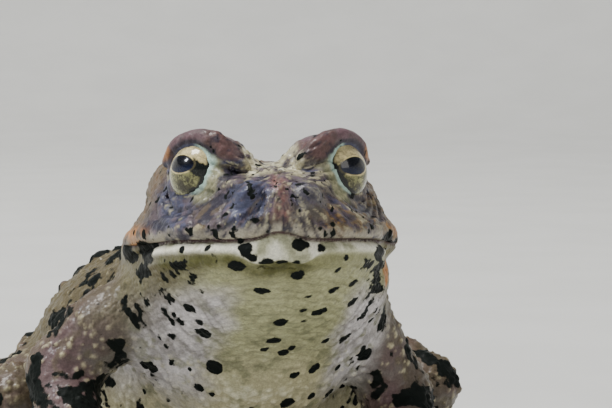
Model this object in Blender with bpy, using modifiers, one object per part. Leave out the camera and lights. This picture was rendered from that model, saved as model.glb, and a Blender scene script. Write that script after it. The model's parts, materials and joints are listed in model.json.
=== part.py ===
"""A western toad sitting with its head raised, life size, as a still museum model.

The toad faces -Y, stands on the floor at Z = 0 and has +X on its left. The whole animal is one
blend of rounded lumps, remeshed and settled on the blend's surface, and is then parted with thin
cuts into head, lower jaw, torso, upper arms, forearms, hands, thighs, shanks and feet.
"""

import math
import random

import bmesh
import bpy
import numpy as np
from mathutils import Euler, Matrix, Vector

# Driving sizes, in metres
SNOUT_VENT = 0.100
GAP = 0.0003
VOXEL = 0.0008
TRIANGLES = 11400

# The tables below are in hundredths of the snout to vent length, which is 1 mm in this toad
UNIT = SNOUT_VENT / 100
FLOOR_SNAP = 0.05

# How far the finished toad is moved along Y, so that its box is centred on the origin
SHIFT = -3.35

# The head: its frame sits between the jaw angles, at the mouth line
HEAD_BASE = (-0.6, -16.0, 37.0)
HEAD_PITCH = 6.0
HEAD_YAW = 9.0
MOUTH_HALF_WIDTH = 16.0
MOUTH_LENGTH = 25.0
MOUTH_BLUNTNESS = 2.25
LIP_PEAK = 1.0
LIP_PEAK_WIDTH = 2.6
MOUTH_CORNER_DROP = 0.6

# The eyes, in the head's frame
EYE_CENTRE = (8.5, -11.0, 8.8)
EYE_RADIUS = 4.4
EYE_YAW = 50.0
EYE_LIFT = 8.0
LID_ANGLE = 71.0

# The nostrils, in the head's frame
NOSTRIL = (3.5, -24.1, 6.1)
NOSTRIL_RADII = (0.55, 1.5, 0.85)
NOSTRIL_TURN = (-20.0, 18.0, -28.0)

# Warts: where they grow, as an axis with its two ends or joints, the spread to each side of the
# back in degrees, how many, and their smallest and largest radius
WART_SEED = 11
WART_SPACING = 1.15
TRIES = 8
WART_STEEPNESS = (0.36, 0.5)
TRUNK_WARTS = ((0, -1, 30), (0, 41, 15), 112, 72, (1.3, 2.8))
HEAD_WARTS = ((9, -6, 38), (17, -4, 40), 70, 3, (1.0, 1.4))
LIMB_WARTS = (
    ("thigh", "knee", 75, 6, (1.1, 1.8)),
    ("knee", "ankle", 80, 8, (1.0, 1.9)),
    ("biceps", "elbow", 80, 5, (0.9, 1.4)),
    ("forearm", "wrist", 90, 4, (0.9, 1.2)),
)

# Where the cuts between the nodes lie
COLLAR = (0.0, 5.2, -4.0)
COLLAR_NORMAL = (0.0, -0.874, 0.486)
MOUTH_CUT = (26.0, -9.0, 26.0)
HIP_CUT = (24.3, 21.0, 14.8)
HIP_CUT_NORMAL = (0.985, 0.17, 0.0)
SHOULDER_CUT = {1: (19.2, -8.0, 18.5), -1: (21.8, -7.4, 24.0)}
SHOULDER_CUT_NORMAL = {1: (0.75, 0.0, -0.66), -1: (0.87, 0.15, -0.47)}
CALF_SAG = 2.2
CUT_SOLVER = "EXACT"

# Colours and finish
COLOURS = {
    "head": (0.30, 0.23, 0.13),
    "lower_jaw": (0.62, 0.56, 0.36),
    "torso": (0.28, 0.23, 0.13),
    "eye": (0.22, 0.14, 0.04),
    "upper_arm": (0.36, 0.29, 0.17),
    "forearm": (0.38, 0.31, 0.19),
    "hand": (0.42, 0.33, 0.20),
    "thigh": (0.30, 0.25, 0.14),
    "shank": (0.31, 0.25, 0.15),
    "foot": (0.38, 0.30, 0.18),
}
SKIN_ROUGHNESS = 0.5
EYE_ROUGHNESS = 0.08
SHARP_EDGE = math.radians(50)

# How softly one form runs into the next
HEAD_BLEND = 2.6
LIP_BLEND = 1.5
NECK_BLEND = 6.0
TORSO_BLEND = 7.0
LIMB_BLEND = 2.4
SKIN_FOLD_BLEND = 1.2

# Beyond this far from the head's middle, and above this height, the head and the limbs add nothing
HEAD_MIDDLE = (0.0, -4.5, -1.0)
HEAD_REACH = 30.0
LIMB_TOP = 38.0


def unit_shape(build, **sizes):
    """One primitive's corners and faces, as arrays, to be copied many times."""
    shape = bmesh.new()
    build(shape, **sizes)
    bmesh.ops.recalc_face_normals(shape, faces=shape.faces)
    points = np.array([corner.co for corner in shape.verts])
    faces = [[corner.index for corner in face.verts] for face in shape.faces]
    shape.free()
    return points, faces


BALL = unit_shape(bmesh.ops.create_uvsphere, u_segments=24, v_segments=16, radius=1)
ROD = unit_shape(
    bmesh.ops.create_cone, cap_ends=True, segments=20, radius1=1, radius2=1, depth=1
)


class Soup:
    """Closed shapes that overlap, gathered into one mesh."""

    def __init__(self):
        self.points = []
        self.faces = []
        self.count = 0

    def add(self, points, faces):
        self.points.append(points)
        self.faces += [[corner + self.count for corner in face] for face in faces]
        self.count += len(points)

    def add_ball(self, place):
        """A unit ball, carried by a 4 by 4 matrix."""
        place = np.array(place)
        points = BALL[0] @ place[:3, :3].T + place[:3, 3]
        flipped = np.linalg.det(place[:3, :3]) < 0
        self.add(points, [face[::-1] for face in BALL[1]] if flipped else BALL[1])

    def mesh(self, name):
        found = bpy.data.meshes.new(name)
        found.from_pydata(np.concatenate(self.points), [], self.faces)
        return found


def smooth_union(first, second, blend):
    """The nearer of two distances, with a fillet of the given width where they meet."""
    overlap = np.maximum(blend - np.abs(first - second), 0.0) / blend
    return np.minimum(first, second) - overlap * overlap * blend / 4


class Lump:
    """An ellipsoid, turned by degrees about X, Y and Z."""

    def __init__(self, centre, radii, turn=(0, 0, 0), blend=HEAD_BLEND):
        self.centre = np.array(centre, float)
        self.radii = np.array(radii, float)
        self.turn = Euler([math.radians(angle) for angle in turn]).to_matrix()
        self.axes = np.array(self.turn)
        self.blend = blend

    def distance(self, points):
        local = (points - self.centre) @ self.axes / self.radii
        near = np.linalg.norm(local, axis=1)
        steep = np.linalg.norm(local / self.radii, axis=1)
        return near * (near - 1) / np.maximum(steep, 1e-6)

    def add_to(self, soup, frame):
        place = frame @ Matrix.Translation(self.centre) @ self.turn.to_4x4()
        soup.add_ball(place @ Matrix.Diagonal((*self.radii, 1)))


class Taper:
    """A round cone from one ball to another."""

    def __init__(self, start, end, start_radius, end_radius, blend=2.0):
        self.start = np.array(start, float)
        self.end = np.array(end, float)
        self.radii = (start_radius, end_radius)
        self.blend = blend

    def distance(self, points):
        along = self.end - self.start
        share = np.clip((points - self.start) @ along / (along @ along), 0, 1)
        nearest = self.start + share[:, None] * along
        radius = self.radii[0] + share * (self.radii[1] - self.radii[0])
        return np.linalg.norm(points - nearest, axis=1) - radius

    def add_to(self, soup, frame):
        along = Vector(self.end - self.start)
        aim = along.to_track_quat("Z", "Y").to_matrix().to_4x4()
        place = np.array(frame @ Matrix.Translation((self.start + self.end) / 2) @ aim)
        points = ROD[0] * (1, 1, along.length)
        share = ROD[0][:, 2:] + 0.5
        points[:, :2] *= self.radii[0] + share * (self.radii[1] - self.radii[0])
        points = points @ place[:3, :3].T + place[:3, 3]
        flipped = np.linalg.det(place[:3, :3]) < 0
        soup.add(points, [face[::-1] for face in ROD[1]] if flipped else ROD[1])
        for centre, radius in ((self.start, self.radii[0]), (self.end, self.radii[1])):
            soup.add_ball(frame @ Matrix.Translation(centre) @ Matrix.Scale(radius, 4))


class Rim:
    """A ring of skin round an opening, thicker towards its own top."""

    def __init__(self, centre, axis, radius, thin, thick, blend=SKIN_FOLD_BLEND):
        self.centre = np.array(centre, float)
        self.axis = np.array(Vector(axis).normalized())
        self.radius = radius
        self.thin = thin
        self.thick = thick
        self.blend = blend
        up = np.array((0.0, 0.0, 1.0)) - self.axis[2] * self.axis
        self.up = up / np.linalg.norm(up)

    def distance(self, points):
        offset = points - self.centre
        height = offset @ self.axis
        flat = offset - height[:, None] * self.axis
        reach = np.linalg.norm(flat, axis=1)
        rise = (flat @ self.up) / np.maximum(reach, 1e-6)
        tube = self.thin + (self.thick - self.thin) * np.clip(rise, 0, 1) ** 2
        return np.hypot(reach - self.radius, height) - tube

    def add_to(self, soup, frame, segments=24):
        side = np.cross(self.up, self.axis)
        for step in range(segments):
            angle = math.tau * step / segments
            spoke = math.cos(angle) * self.up + math.sin(angle) * side
            tube = self.thin + (self.thick - self.thin) * max(math.cos(angle), 0) ** 2
            place = frame @ Matrix.Translation(self.centre + spoke * self.radius)
            soup.add_ball(place @ Matrix.Scale(tube, 4))


class Chain:
    """Round cones that join a row of points, with no swelling where one runs into the next."""

    def __init__(self, points, radii, blend=LIMB_BLEND):
        pairs = zip(points, points[1:], radii, radii[1:])
        self.links = [Taper(*pair) for pair in pairs]
        self.blend = blend

    def distance(self, points):
        return np.min([link.distance(points) for link in self.links], axis=0)

    def add_to(self, soup, frame):
        for link in self.links:
            link.add_to(soup, frame)


def rounded(points, steps=4):
    """Points along a smooth curve through the given ones."""
    points = [np.array(point, float) for point in points]
    padded = [2 * points[0] - points[1], *points, 2 * points[-1] - points[-2]]
    found = []
    for i in range(len(points) - 1):
        before, start, end, after = padded[i : i + 4]
        for step in range(steps):
            t = step / steps
            bend = 2 * before - 5 * start + 4 * end - after
            twist = 3 * (start - end) + after - before
            found.append(start + (t * (end - before) + t * t * bend + t * t * t * twist) / 2)
    return [*found, points[-1]]


def mirrored(point, side):
    return (point[0] * side, point[1], point[2])


def eye_axis():
    """The way the left eye looks, in the head's frame: forward is -Y."""
    yaw, lift = math.radians(EYE_YAW), math.radians(EYE_LIFT)
    return (math.sin(yaw) * math.cos(lift), -math.cos(yaw) * math.cos(lift), math.sin(lift))


def lip_point(angle, inset, height):
    """A point on the left half of the mouth's outline: 0 is the snout, 90 degrees the corner."""
    power = 2 / MOUTH_BLUNTNESS
    x = (MOUTH_HALF_WIDTH - inset) * math.sin(angle) ** power
    y = -(MOUTH_LENGTH - inset) * math.cos(angle) ** power
    peak = LIP_PEAK * math.exp(-((x / LIP_PEAK_WIDTH) ** 2))
    drop = MOUTH_CORNER_DROP * max(0.0, math.sin(angle)) ** 8
    return (x, y, height + peak - drop)


def lip(inset, height, front_radius, corner_radius, steps=16):
    """One lip, as a bead along the mouth's outline from the snout to the corner."""
    shares = [i / steps for i in range(steps + 1)]
    points = [lip_point(math.radians(90) * share, inset, height) for share in shares]
    radii = [front_radius + share * (corner_radius - front_radius) for share in shares]
    return Chain(points, radii, SKIN_FOLD_BLEND)


# The thick edge of the upper eyelid, from the temple to the snout, as centres with their radii
BROW = (
    ((12.9, -7.2, 10.6), 0.8),
    ((12.0, -9.8, 12.5), 0.95),
    ((10.1, -12.0, 13.5), 1.05),
    ((7.9, -13.7, 13.3), 1.25),
    ((5.9, -14.8, 12.0), 1.35),
    ((4.1, -15.3, 10.2), 1.15),
)


# The bead of skin that the upper lip ends in, over the jaw's angle
JAW_BEAD = ((17.0, 5.0, -0.8), (17.2, 1.5, 0.1), (16.6, -3.0, 0.9), (15.4, -8.0, 1.2))


def upper_head():
    """The left half of the head above the mouth line, with brow, eyelid rim and gland."""
    axis = eye_axis()
    lid = math.radians(LID_ANGLE)
    ring_centre = [EYE_CENTRE[i] + axis[i] * EYE_RADIUS * math.cos(lid) for i in range(3)]
    brow = rounded([(*point, radius) for point, radius in BROW])
    return [
        Lump((0, -5.5, 3.9), (12.0, 17.5, 6.5)),
        Lump((0, -15.5, 2.6), (9.6, 10.4, 4.4)),
        Lump((0, -4.5, 1.9), (15.6, 19.6, 3.9)),
        Lump((11.0, -2.5, 3.0), (4.7, 9.0, 4.9)),
        Lump((14.2, 2.5, -0.3), (3.4, 6.5, 4.0)),
        Lump((9.6, 0.5, 6.8), (4.5, 8.0, 4.7)),
        Lump((0, 6.0, 4.5), (12.4, 11.0, 6.5)),
        Lump((0, -17.0, 5.6), (4.2, 7.0, 2.7), (10, 0, 0), 2.2),
        Taper((6.4, -15.6, 7.4), (4.0, -22.0, 6.0), 1.7, 1.4, 1.6),
        Lump((3.4, -23.2, 5.6), (1.7, 1.8, 1.6), blend=1.4),
        Lump((0, -24.0, 4.4), (1.7, 1.7, 2.7), blend=1.2),
        Lump((7.0, -9.7, 8.5), (5.5, 5.7, 5.5), blend=1.8),
        Lump((10.8, 4.6, 7.4), (4.1, 7.2, 3.9), (-16, 0, -12), 1.6),
        Chain([point[:3] for point in brow], [point[3] for point in brow], 1.2),
        Rim(ring_centre, axis, EYE_RADIUS * math.sin(lid), 0.6, 0.6),
        Rim((14.6, -1.4, 5.0), (1, -0.12, 0.25), 2.0, 0.5, 0.5, 0.8),
        lip(0.9, 1.5, 1.5, 1.3),
        Chain(JAW_BEAD, (1.0, 1.35, 1.25, 0.9), 1.6),
    ]


def lower_head():
    """The left half of the lower jaw and throat."""
    return [
        Lump((0, -4.5, -3.6), (14.7, 19.0, 3.8)),
        Lump((12.8, 1.5, -4.5), (4.4, 7.0, 5.0)),
        Lump((0, 0.5, -8.0), (13.9, 17.0, 7.8), (-14, 0, 0), 5.0),
        Lump((0, -23.8, -1.1), (3.4, 1.6, 1.9), blend=1.0),
        lip(1.3, -1.7, 1.75, 1.35),
    ]


def torso():
    """The left half of the trunk, in the toad's own frame."""
    blend = TORSO_BLEND
    return [
        Lump((0, -5, 25.5), (15.6, 15.0, 16.0), blend=blend),
        Lump((0, 1, 31.5), (14.6, 14.5, 10.6), blend=blend),
        Lump((0, 17, 20.4), (24.6, 20.5, 14.2), (-14, 0, 0), blend),
        Lump((0, 17.5, 14.6), (25.0, 20.5, 15.0), blend=blend),
        Lump((0, 24, 19.6), (19.0, 15.0, 12.4), (-24, 0, 0), blend),
        Lump((0, 32, 13.8), (17.5, 13.5, 12.2), blend=blend),
        Lump((0, 42, 9.2), (6.5, 5.5, 5.5), blend=blend),
        Lump((12.4, -7.5, 26.0), (5.8, 7.5, 7.5), blend=4.0),
        Lump((11.5, -3.0, 33.0), (4.5, 7.0, 5.5), blend=3.0),
    ]


# Each limb's joints, measured outwards from the toad's middle: the left arm, 1, hangs close to
# the chest, and the right one, -1, stands out
ARMS = {
    1: {
        "shoulder": (11.5, -9.0, 26.5),
        "biceps": (16.4, -8.0, 21.6),
        "elbow": (21.1, -7.4, 13.8),
        "forearm": (20.5, -13.5, 9.0),
        "wrist": (17.6, -20.5, 4.6),
        "palm": (15.8, -25.2, 1.5),
    },
    -1: {
        "shoulder": (12.6, -9.0, 27.5),
        "biceps": (20.4, -7.6, 25.0),
        "elbow": (26.2, -6.0, 19.0),
        "forearm": (26.4, -12.0, 12.6),
        "wrist": (24.0, -17.8, 5.2),
        "palm": (22.2, -22.8, 1.5),
    },
}
LEG = {
    "hip": (11.0, 33.0, 13.6),
    "thigh": (23.0, 21.8, 13.2),
    "knee": (31.0, 10.5, 12.0),
    "calf": (30.6, 23.0, 10.6),
    "ankle": (26.0, 40.5, 6.2),
    "tarsus": (30.2, 27.5, 3.1),
    "sole": (32.0, 20.5, 1.2),
}
JOINTS = {side: {**arm, **LEG} for side, arm in ARMS.items()}

# Fingers and toes from root to tip, measured from the palm and from the sole
FINGERS = (
    ((-2.8, -0.4), (-8.8, -5.2)),
    ((-1.8, -3.4), (-5.4, -11.8)),
    ((0.8, -4.2), (1.4, -14.4)),
    ((3.0, -2.4), (8.4, -10.0)),
)
TOES = (
    ((-2.4, -1.5), (-5.6, -8.9)),
    ((-0.6, -3.5), (-2.0, -15.9)),
    ((1.4, -4.1), (3.8, -22.5)),
    ((3.0, -3.1), (11.4, -24.1)),
    ((3.4, -0.9), (13.6, -12.1)),
)
DIGIT_HEIGHT = 0.85
DIGIT_RADII = (1.75, 1.35, 1.3)
WEB_HEIGHT = 0.9


def digits_from(base, digits):
    """Fingers or toes moved to where their palm or sole is."""
    return [[(base[0] + x, base[1] + y) for x, y in ends] for ends in digits]


def digit(root, tip, side):
    """A finger or toe lying on the floor, a little swollen at its tip."""
    middle = [(root[i] * 0.45 + tip[i] * 0.55) for i in range(2)]
    points = [(x * side, y, DIGIT_HEIGHT) for x, y in (root, middle, tip)]
    return Chain(points, DIGIT_RADII, 0.9)


def webs(digits, side, share, half_width):
    """Low webs on the floor between neighbouring digits."""
    found = []
    for (root, tip), (next_root, next_tip) in zip(digits, digits[1:]):
        start = [(root[i] + next_root[i]) / 2 for i in range(2)]
        end = [start[i] + share * ((tip[i] + next_tip[i]) / 2 - start[i]) for i in range(2)]
        middle = ((start[0] + end[0]) / 2 * side, (start[1] + end[1]) / 2, -0.4)
        length = math.dist(start, end) / 2 + 1.0
        turn = math.degrees(math.atan2(end[1] - start[1], (end[0] - start[0]) * side)) - 90
        found.append(Lump(middle, (half_width, length, WEB_HEIGHT + 0.4), (0, 0, turn), 1.0))
    return found


def arm(side):
    """An upper arm, forearm and hand."""
    at = {name: mirrored(point, side) for name, point in ARMS[side].items()}
    found = [
        Chain([at["shoulder"], at["biceps"], at["elbow"]], (6.2, 5.3, 4.5), 3.0),
        Chain([at["elbow"], at["forearm"], at["wrist"]], (4.4, 4.6, 3.0)),
        Chain([at["wrist"], at["palm"]], (3.0, 2.4)),
        Lump(at["palm"], (4.3, 5.2, 2.2), (0, 0, -14 * side), 1.2),
    ]
    fingers = digits_from(ARMS[side]["palm"], FINGERS)
    return found + [digit(*ends, side) for ends in fingers] + webs(fingers, side, 0.28, 1.6)


def leg(side):
    """A thigh, shank and foot, folded as the toad sits."""
    at = {name: mirrored(point, side) for name, point in LEG.items()}
    found = [
        Chain([at["hip"], at["thigh"], at["knee"]], (8.2, 7.2, 4.7), 3.0),
        Chain([at["knee"], at["calf"], at["ankle"]], (4.6, 5.8, 3.4), 1.4),
        Chain([at["ankle"], at["tarsus"], at["sole"]], (3.2, 2.8, 2.4), 1.2),
        Lump(at["sole"], (4.4, 7.0, 2.2), (0, 0, 22 * side), 1.2),
    ]
    toes = digits_from(LEG["sole"], TOES)
    return found + [digit(*ends, side) for ends in toes] + webs(toes, side, 0.5, 2.6)


def head_matrix():
    """From the head's frame to the toad's, both in table units."""
    yaw = Matrix.Rotation(math.radians(-HEAD_YAW), 4, "Z")
    pitch = Matrix.Rotation(math.radians(-HEAD_PITCH), 4, "X")
    return Matrix.Translation(HEAD_BASE) @ yaw @ pitch


def combine(lumps, points):
    found = None
    for lump in lumps:
        distance = lump.distance(points)
        found = distance if found is None else smooth_union(found, distance, lump.blend)
    return found


class Toad:
    """The whole blend: it says how far a point is from the skin, and adds its lumps to a mesh."""

    def __init__(self):
        self.upper = upper_head()
        self.lower = lower_head()
        self.torso = torso()
        self.limbs = {side: arm(side) + leg(side) for side in (1, -1)}
        self.head = np.array(head_matrix())

    def distance(self, points):
        one_side = points.copy()
        one_side[:, 0] = np.abs(points[:, 0])
        found = combine(self.torso, one_side)
        in_head = (points - self.head[:3, 3]) @ self.head[:3, :3]
        near = np.linalg.norm(in_head - HEAD_MIDDLE, axis=1) < HEAD_REACH
        in_head = in_head[near]
        in_head[:, 0] = np.abs(in_head[:, 0])
        head = smooth_union(combine(self.upper, in_head), combine(self.lower, in_head), LIP_BLEND)
        found[near] = smooth_union(head, found[near], NECK_BLEND)
        for side, limbs in self.limbs.items():
            near = (points[:, 0] * side > 0) & (points[:, 2] < LIMB_TOP)
            limb = combine(limbs, points[near])
            found[near] = smooth_union(found[near], limb, LIMB_BLEND)
        return found

    def slope(self, points, distance, step=0.02):
        found = np.empty_like(points)
        for axis in range(3):
            moved = points.copy()
            moved[:, axis] += step
            found[:, axis] = (self.distance(moved) - distance) / step
        return found

    def settle(self, mesh, rounds=5, reach=0.8, close=0.004):
        """Moves a mesh's corners along the slope onto the blend, and flat where the floor is."""
        points = coordinates(mesh) / UNIT
        moving = np.arange(len(points))
        for _ in range(rounds):
            distance = self.distance(points[moving])
            far = np.abs(distance) > close
            moving, distance = moving[far], distance[far]
            slope = self.slope(points[moving], distance)
            steep = np.maximum((slope * slope).sum(1), 0.25)
            points[moving] -= (np.clip(distance, -reach, reach) / steep)[:, None] * slope
        points[:, 2] = np.maximum(points[:, 2], 0.0)
        move_corners(mesh, points)
        return points

    def leave(self, origins, directions, reach=45.0, halvings=20):
        """Where lines from inside the toad first leave its skin."""
        near, far = np.zeros((len(origins), 1)), np.full((len(origins), 1), reach)
        for _ in range(halvings):
            middle = (near + far) / 2
            inside = (self.distance(origins + middle * directions) < 0)[:, None]
            near, far = np.where(inside, middle, near), np.where(inside, far, middle)
        return origins + near * directions

    def add_to(self, soup):
        unit = Matrix.Diagonal((UNIT, UNIT, UNIT, 1))
        head = unit @ head_matrix()
        flip = Matrix.Diagonal((-1, 1, 1, 1))
        for lumps, frame in ((self.upper + self.lower, head), (self.torso, unit)):
            for lump in lumps:
                lump.add_to(soup, frame)
                lump.add_to(soup, frame @ flip)
        for limbs in self.limbs.values():
            for lump in limbs:
                lump.add_to(soup, unit)


def wart_sites(toad):
    """Warts as (place, radius, height), scattered round the axes of the trunk and the limbs."""
    draw = random.Random(WART_SEED)
    fields = [TRUNK_WARTS]
    for side in (1, -1):
        fields.append((*(mirrored(point, side) for point in HEAD_WARTS[:2]), *HEAD_WARTS[2:]))
        for first, last, *rest in LIMB_WARTS:
            ends = (mirrored(JOINTS[side][name], side) for name in (first, last))
            fields.append((*ends, *rest))
    found = []
    for start, end, spread, count, (smallest, largest) in fields:
        draws = np.array([[draw.random() for _ in range(3)] for _ in range(count * TRIES)])
        start, end = np.array(start, float), np.array(end, float)
        along = (end - start) / np.linalg.norm(end - start)
        up = np.array((0.0, 0.0, 1.0)) - along[2] * along
        up /= np.linalg.norm(up)
        side = np.cross(along, up)
        angles = math.radians(spread) * (2 * draws[:, 1:2] - 1)
        origins = start + draws[:, :1] * (end - start)
        places = toad.leave(origins, np.cos(angles) * up + np.sin(angles) * side)
        sizes = smallest + (largest - smallest) * draws[:, 2] ** 2
        kept = 0
        for place, size in zip(places, sizes):
            clear = all(
                math.dist(place, other) > WART_SPACING * (size + near) for other, near, _ in found
            )
            if kept < count and clear and place[2] > size:
                found.append((place, size, size * draw.uniform(*WART_STEEPNESS)))
                kept += 1
    return found


def raise_warts(points, outward, sites):
    """Lifts points along their outward directions into low round warts."""
    lift = np.zeros(len(points))
    for place, radius, height in sites:
        away = np.linalg.norm(points - place, axis=1) / radius
        lift = np.maximum(lift, height * np.clip(1 - away * away, 0, 1) ** 1.2)
    return points + lift[:, None] * outward


def object_from(mesh, name, collection):
    found = bpy.data.objects.new(name, mesh)
    collection.objects.link(found)
    return found


def apply_modifiers(target):
    """Replaces the object's mesh by what its modifiers make of it."""
    bpy.context.view_layer.update()
    evaluated = target.evaluated_get(bpy.context.evaluated_depsgraph_get())
    mesh = bpy.data.meshes.new_from_object(evaluated)
    target.modifiers.clear()
    target.data = mesh


def coordinates(mesh):
    found = np.empty(len(mesh.vertices) * 3)
    mesh.vertices.foreach_get("co", found)
    return found.reshape(-1, 3)


def outward_ways(mesh):
    found = np.empty(len(mesh.vertices) * 3)
    mesh.vertex_normals.foreach_get("vector", found)
    return found.reshape(-1, 3)


def move_corners(mesh, points):
    """Puts the mesh's corners at points given in table units."""
    mesh.vertices.foreach_set("co", (points * UNIT).ravel())
    mesh.update()


def skin_of(toad, collection):
    """The whole toad as one closed mesh: joined lumps, remeshed, settled on the blend, decimated."""
    soup = Soup()
    toad.add_to(soup)
    whole = object_from(soup.mesh("whole"), "whole", collection)
    remesh = whole.modifiers.new("Join", "REMESH")
    remesh.mode = "VOXEL"
    remesh.voxel_size = VOXEL
    relax = whole.modifiers.new("Relax", "SMOOTH")
    relax.factor = 0.5
    relax.iterations = 2
    apply_modifiers(whole)
    settled = toad.settle(whole.data)
    warty = raise_warts(settled, outward_ways(whole.data), wart_sites(toad))
    warty[:, 2] = np.maximum(warty[:, 2], 0.0)
    move_corners(whole.data, warty)
    thin = whole.modifiers.new("Thin", "DECIMATE")
    thin.use_collapse_triangulate = True
    thin.ratio = TRIANGLES / (2 * len(whole.data.polygons))
    apply_modifiers(whole)
    thinned = coordinates(whole.data) / UNIT
    thinned[thinned[:, 2] < FLOOR_SNAP, 2] = 0.0
    move_corners(whole.data, thinned)
    return whole


def hidden_cutter(mesh, name, collection):
    """A cutter is drawn as wire and isn't one of the toad's parts."""
    found = object_from(mesh, name, collection)
    found.hide_render = True
    found.display_type = "WIRE"
    return found


def thin_plate(name, frame, centre, normal, along, reach, half_height, collection):
    """A flat cutter one gap thick: it runs from reach[0] to reach[1] along `along`."""
    normal = Vector(normal).normalized()
    along = (Vector(along) - Vector(along).dot(normal) * normal).normalized()
    upward = normal.cross(along)
    turn = Matrix((along, upward, normal)).transposed().to_4x4()
    middle = Vector(centre) + along * (reach[0] + reach[1]) / 2
    size = Matrix.Diagonal((reach[1] - reach[0], 2 * half_height, GAP / UNIT, 1))
    plate = bmesh.new()
    bmesh.ops.create_cube(plate, size=1, matrix=frame @ Matrix.Translation(middle) @ turn @ size)
    mesh = bpy.data.meshes.new(name)
    plate.to_mesh(mesh)
    plate.free()
    return hidden_cutter(mesh, name, collection)


def mouth_cutter(frame, collection):
    """A plate that follows the mouth line: raised at the snout, lower at the corners."""
    sheet = bmesh.new()
    bmesh.ops.create_grid(sheet, x_segments=20, y_segments=16, size=1)
    for corner in sheet.verts:
        x, y = corner.co.x * MOUTH_CUT[0], MOUTH_CUT[1] + corner.co.y * MOUTH_CUT[2]
        front = min(max(-y / MOUTH_LENGTH, 0.0), 1.0)
        peak = LIP_PEAK * math.exp(-((x / LIP_PEAK_WIDTH) ** 2)) * front**2
        drop = MOUTH_CORNER_DROP * (1 - front**MOUTH_BLUNTNESS) ** 4
        corner.co = frame @ Vector((x, y, peak - drop))
    mesh = bpy.data.meshes.new("mouth_cutter")
    sheet.to_mesh(mesh)
    sheet.free()
    cutter = hidden_cutter(mesh, "mouth_cutter", collection)
    thickness = cutter.modifiers.new("Thickness", "SOLIDIFY")
    thickness.thickness = GAP
    thickness.offset = 0
    apply_modifiers(cutter)
    return cutter


def cut(target, cutter):
    """Takes the cutter's space out of the target."""
    boolean = target.modifiers.new("Cut", "BOOLEAN")
    boolean.operation = "DIFFERENCE"
    boolean.solver = CUT_SOLVER
    boolean.object = cutter
    apply_modifiers(target)


def pieces_of(mesh):
    """The mesh's separate closed surfaces, as meshes with their middle and volume."""
    whole = bmesh.new()
    whole.from_mesh(mesh)
    whole.faces.ensure_lookup_table()
    waiting = set(whole.faces)
    found = []
    while waiting:
        group = {waiting.pop()}
        edge = list(group)
        while edge:
            near = {f for e in edge.pop().edges for f in e.link_faces} - group
            group |= near
            edge += near
        waiting -= group
        piece = bmesh.new()
        corners = {v: piece.verts.new(v.co) for f in group for v in f.verts}
        for face in sorted(group, key=lambda f: f.index):
            piece.faces.new([corners[v] for v in face.verts])
        volume = piece.calc_volume()
        middle = sum((v.co for v in piece.verts), Vector()) / len(piece.verts)
        made = bpy.data.meshes.new("piece")
        piece.to_mesh(made)
        piece.free()
        found.append((made, middle, volume))
    whole.free()
    return found


def sever(main, cutter, name, label, collection):
    """Cuts main and moves the piece whose middle is nearest the label into a node of its own."""
    cut(main, cutter)
    found = sorted(pieces_of(main.data), key=lambda piece: -piece[2])[:2]
    found.sort(key=lambda piece: (piece[1] / UNIT - Vector(label)).length)
    main.data = found[1][0]
    return object_from(found[0][0], name, collection)


def keep_largest(target):
    target.data = max(pieces_of(target.data), key=lambda piece: piece[2])[0]


def eyeball(name, side, radius, collection):
    """An eye, or the cutter that makes its socket, with its pole on the way it looks."""
    ball = bmesh.new()
    bmesh.ops.create_uvsphere(ball, u_segments=20, v_segments=12, radius=radius * UNIT)
    mesh = bpy.data.meshes.new(name)
    ball.to_mesh(mesh)
    ball.free()
    found = object_from(mesh, name, collection)
    frame = head_matrix()
    centre = frame @ Vector(mirrored(EYE_CENTRE, side))
    axis = frame.to_3x3() @ Vector(mirrored(eye_axis(), side))
    found.location = centre * UNIT
    found.rotation_euler = axis.to_track_quat("Z", "Y").to_euler()
    return found


def nostril(side, letter, collection):
    """A cutter for one nostril's pit."""
    pit = bmesh.new()
    turn = Euler([math.radians(angle) for angle in NOSTRIL_TURN]).to_matrix().to_4x4()
    on_side = Matrix.Diagonal((UNIT, UNIT, UNIT, 1)) @ head_matrix() @ Matrix.Diagonal((side, 1, 1, 1))
    place = on_side @ Matrix.Translation(NOSTRIL) @ turn @ Matrix.Diagonal((*NOSTRIL_RADII, 1))
    bmesh.ops.create_uvsphere(pit, u_segments=12, v_segments=8, radius=1, matrix=place)
    bmesh.ops.recalc_face_normals(pit, faces=pit.faces)
    mesh = bpy.data.meshes.new("nostril_" + letter)
    pit.to_mesh(mesh)
    pit.free()
    return hidden_cutter(mesh, "nostril_" + letter, collection)


def paint(target, colour, roughness):
    """Gives the object a material of its own, and smooth shading away from its cut edges."""
    material = bpy.data.materials.new(target.name)
    material.use_nodes = True
    material.diffuse_color = (*colour, 1)
    surface = material.node_tree.nodes["Principled BSDF"]
    surface.inputs["Base Color"].default_value = (*colour, 1)
    surface.inputs["Roughness"].default_value = roughness
    surface.inputs["Metallic"].default_value = 0.0
    target.data.materials.clear()
    target.data.materials.append(material)
    target.data.shade_smooth()
    target.data.set_sharp_from_angle(angle=SHARP_EDGE)


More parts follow.
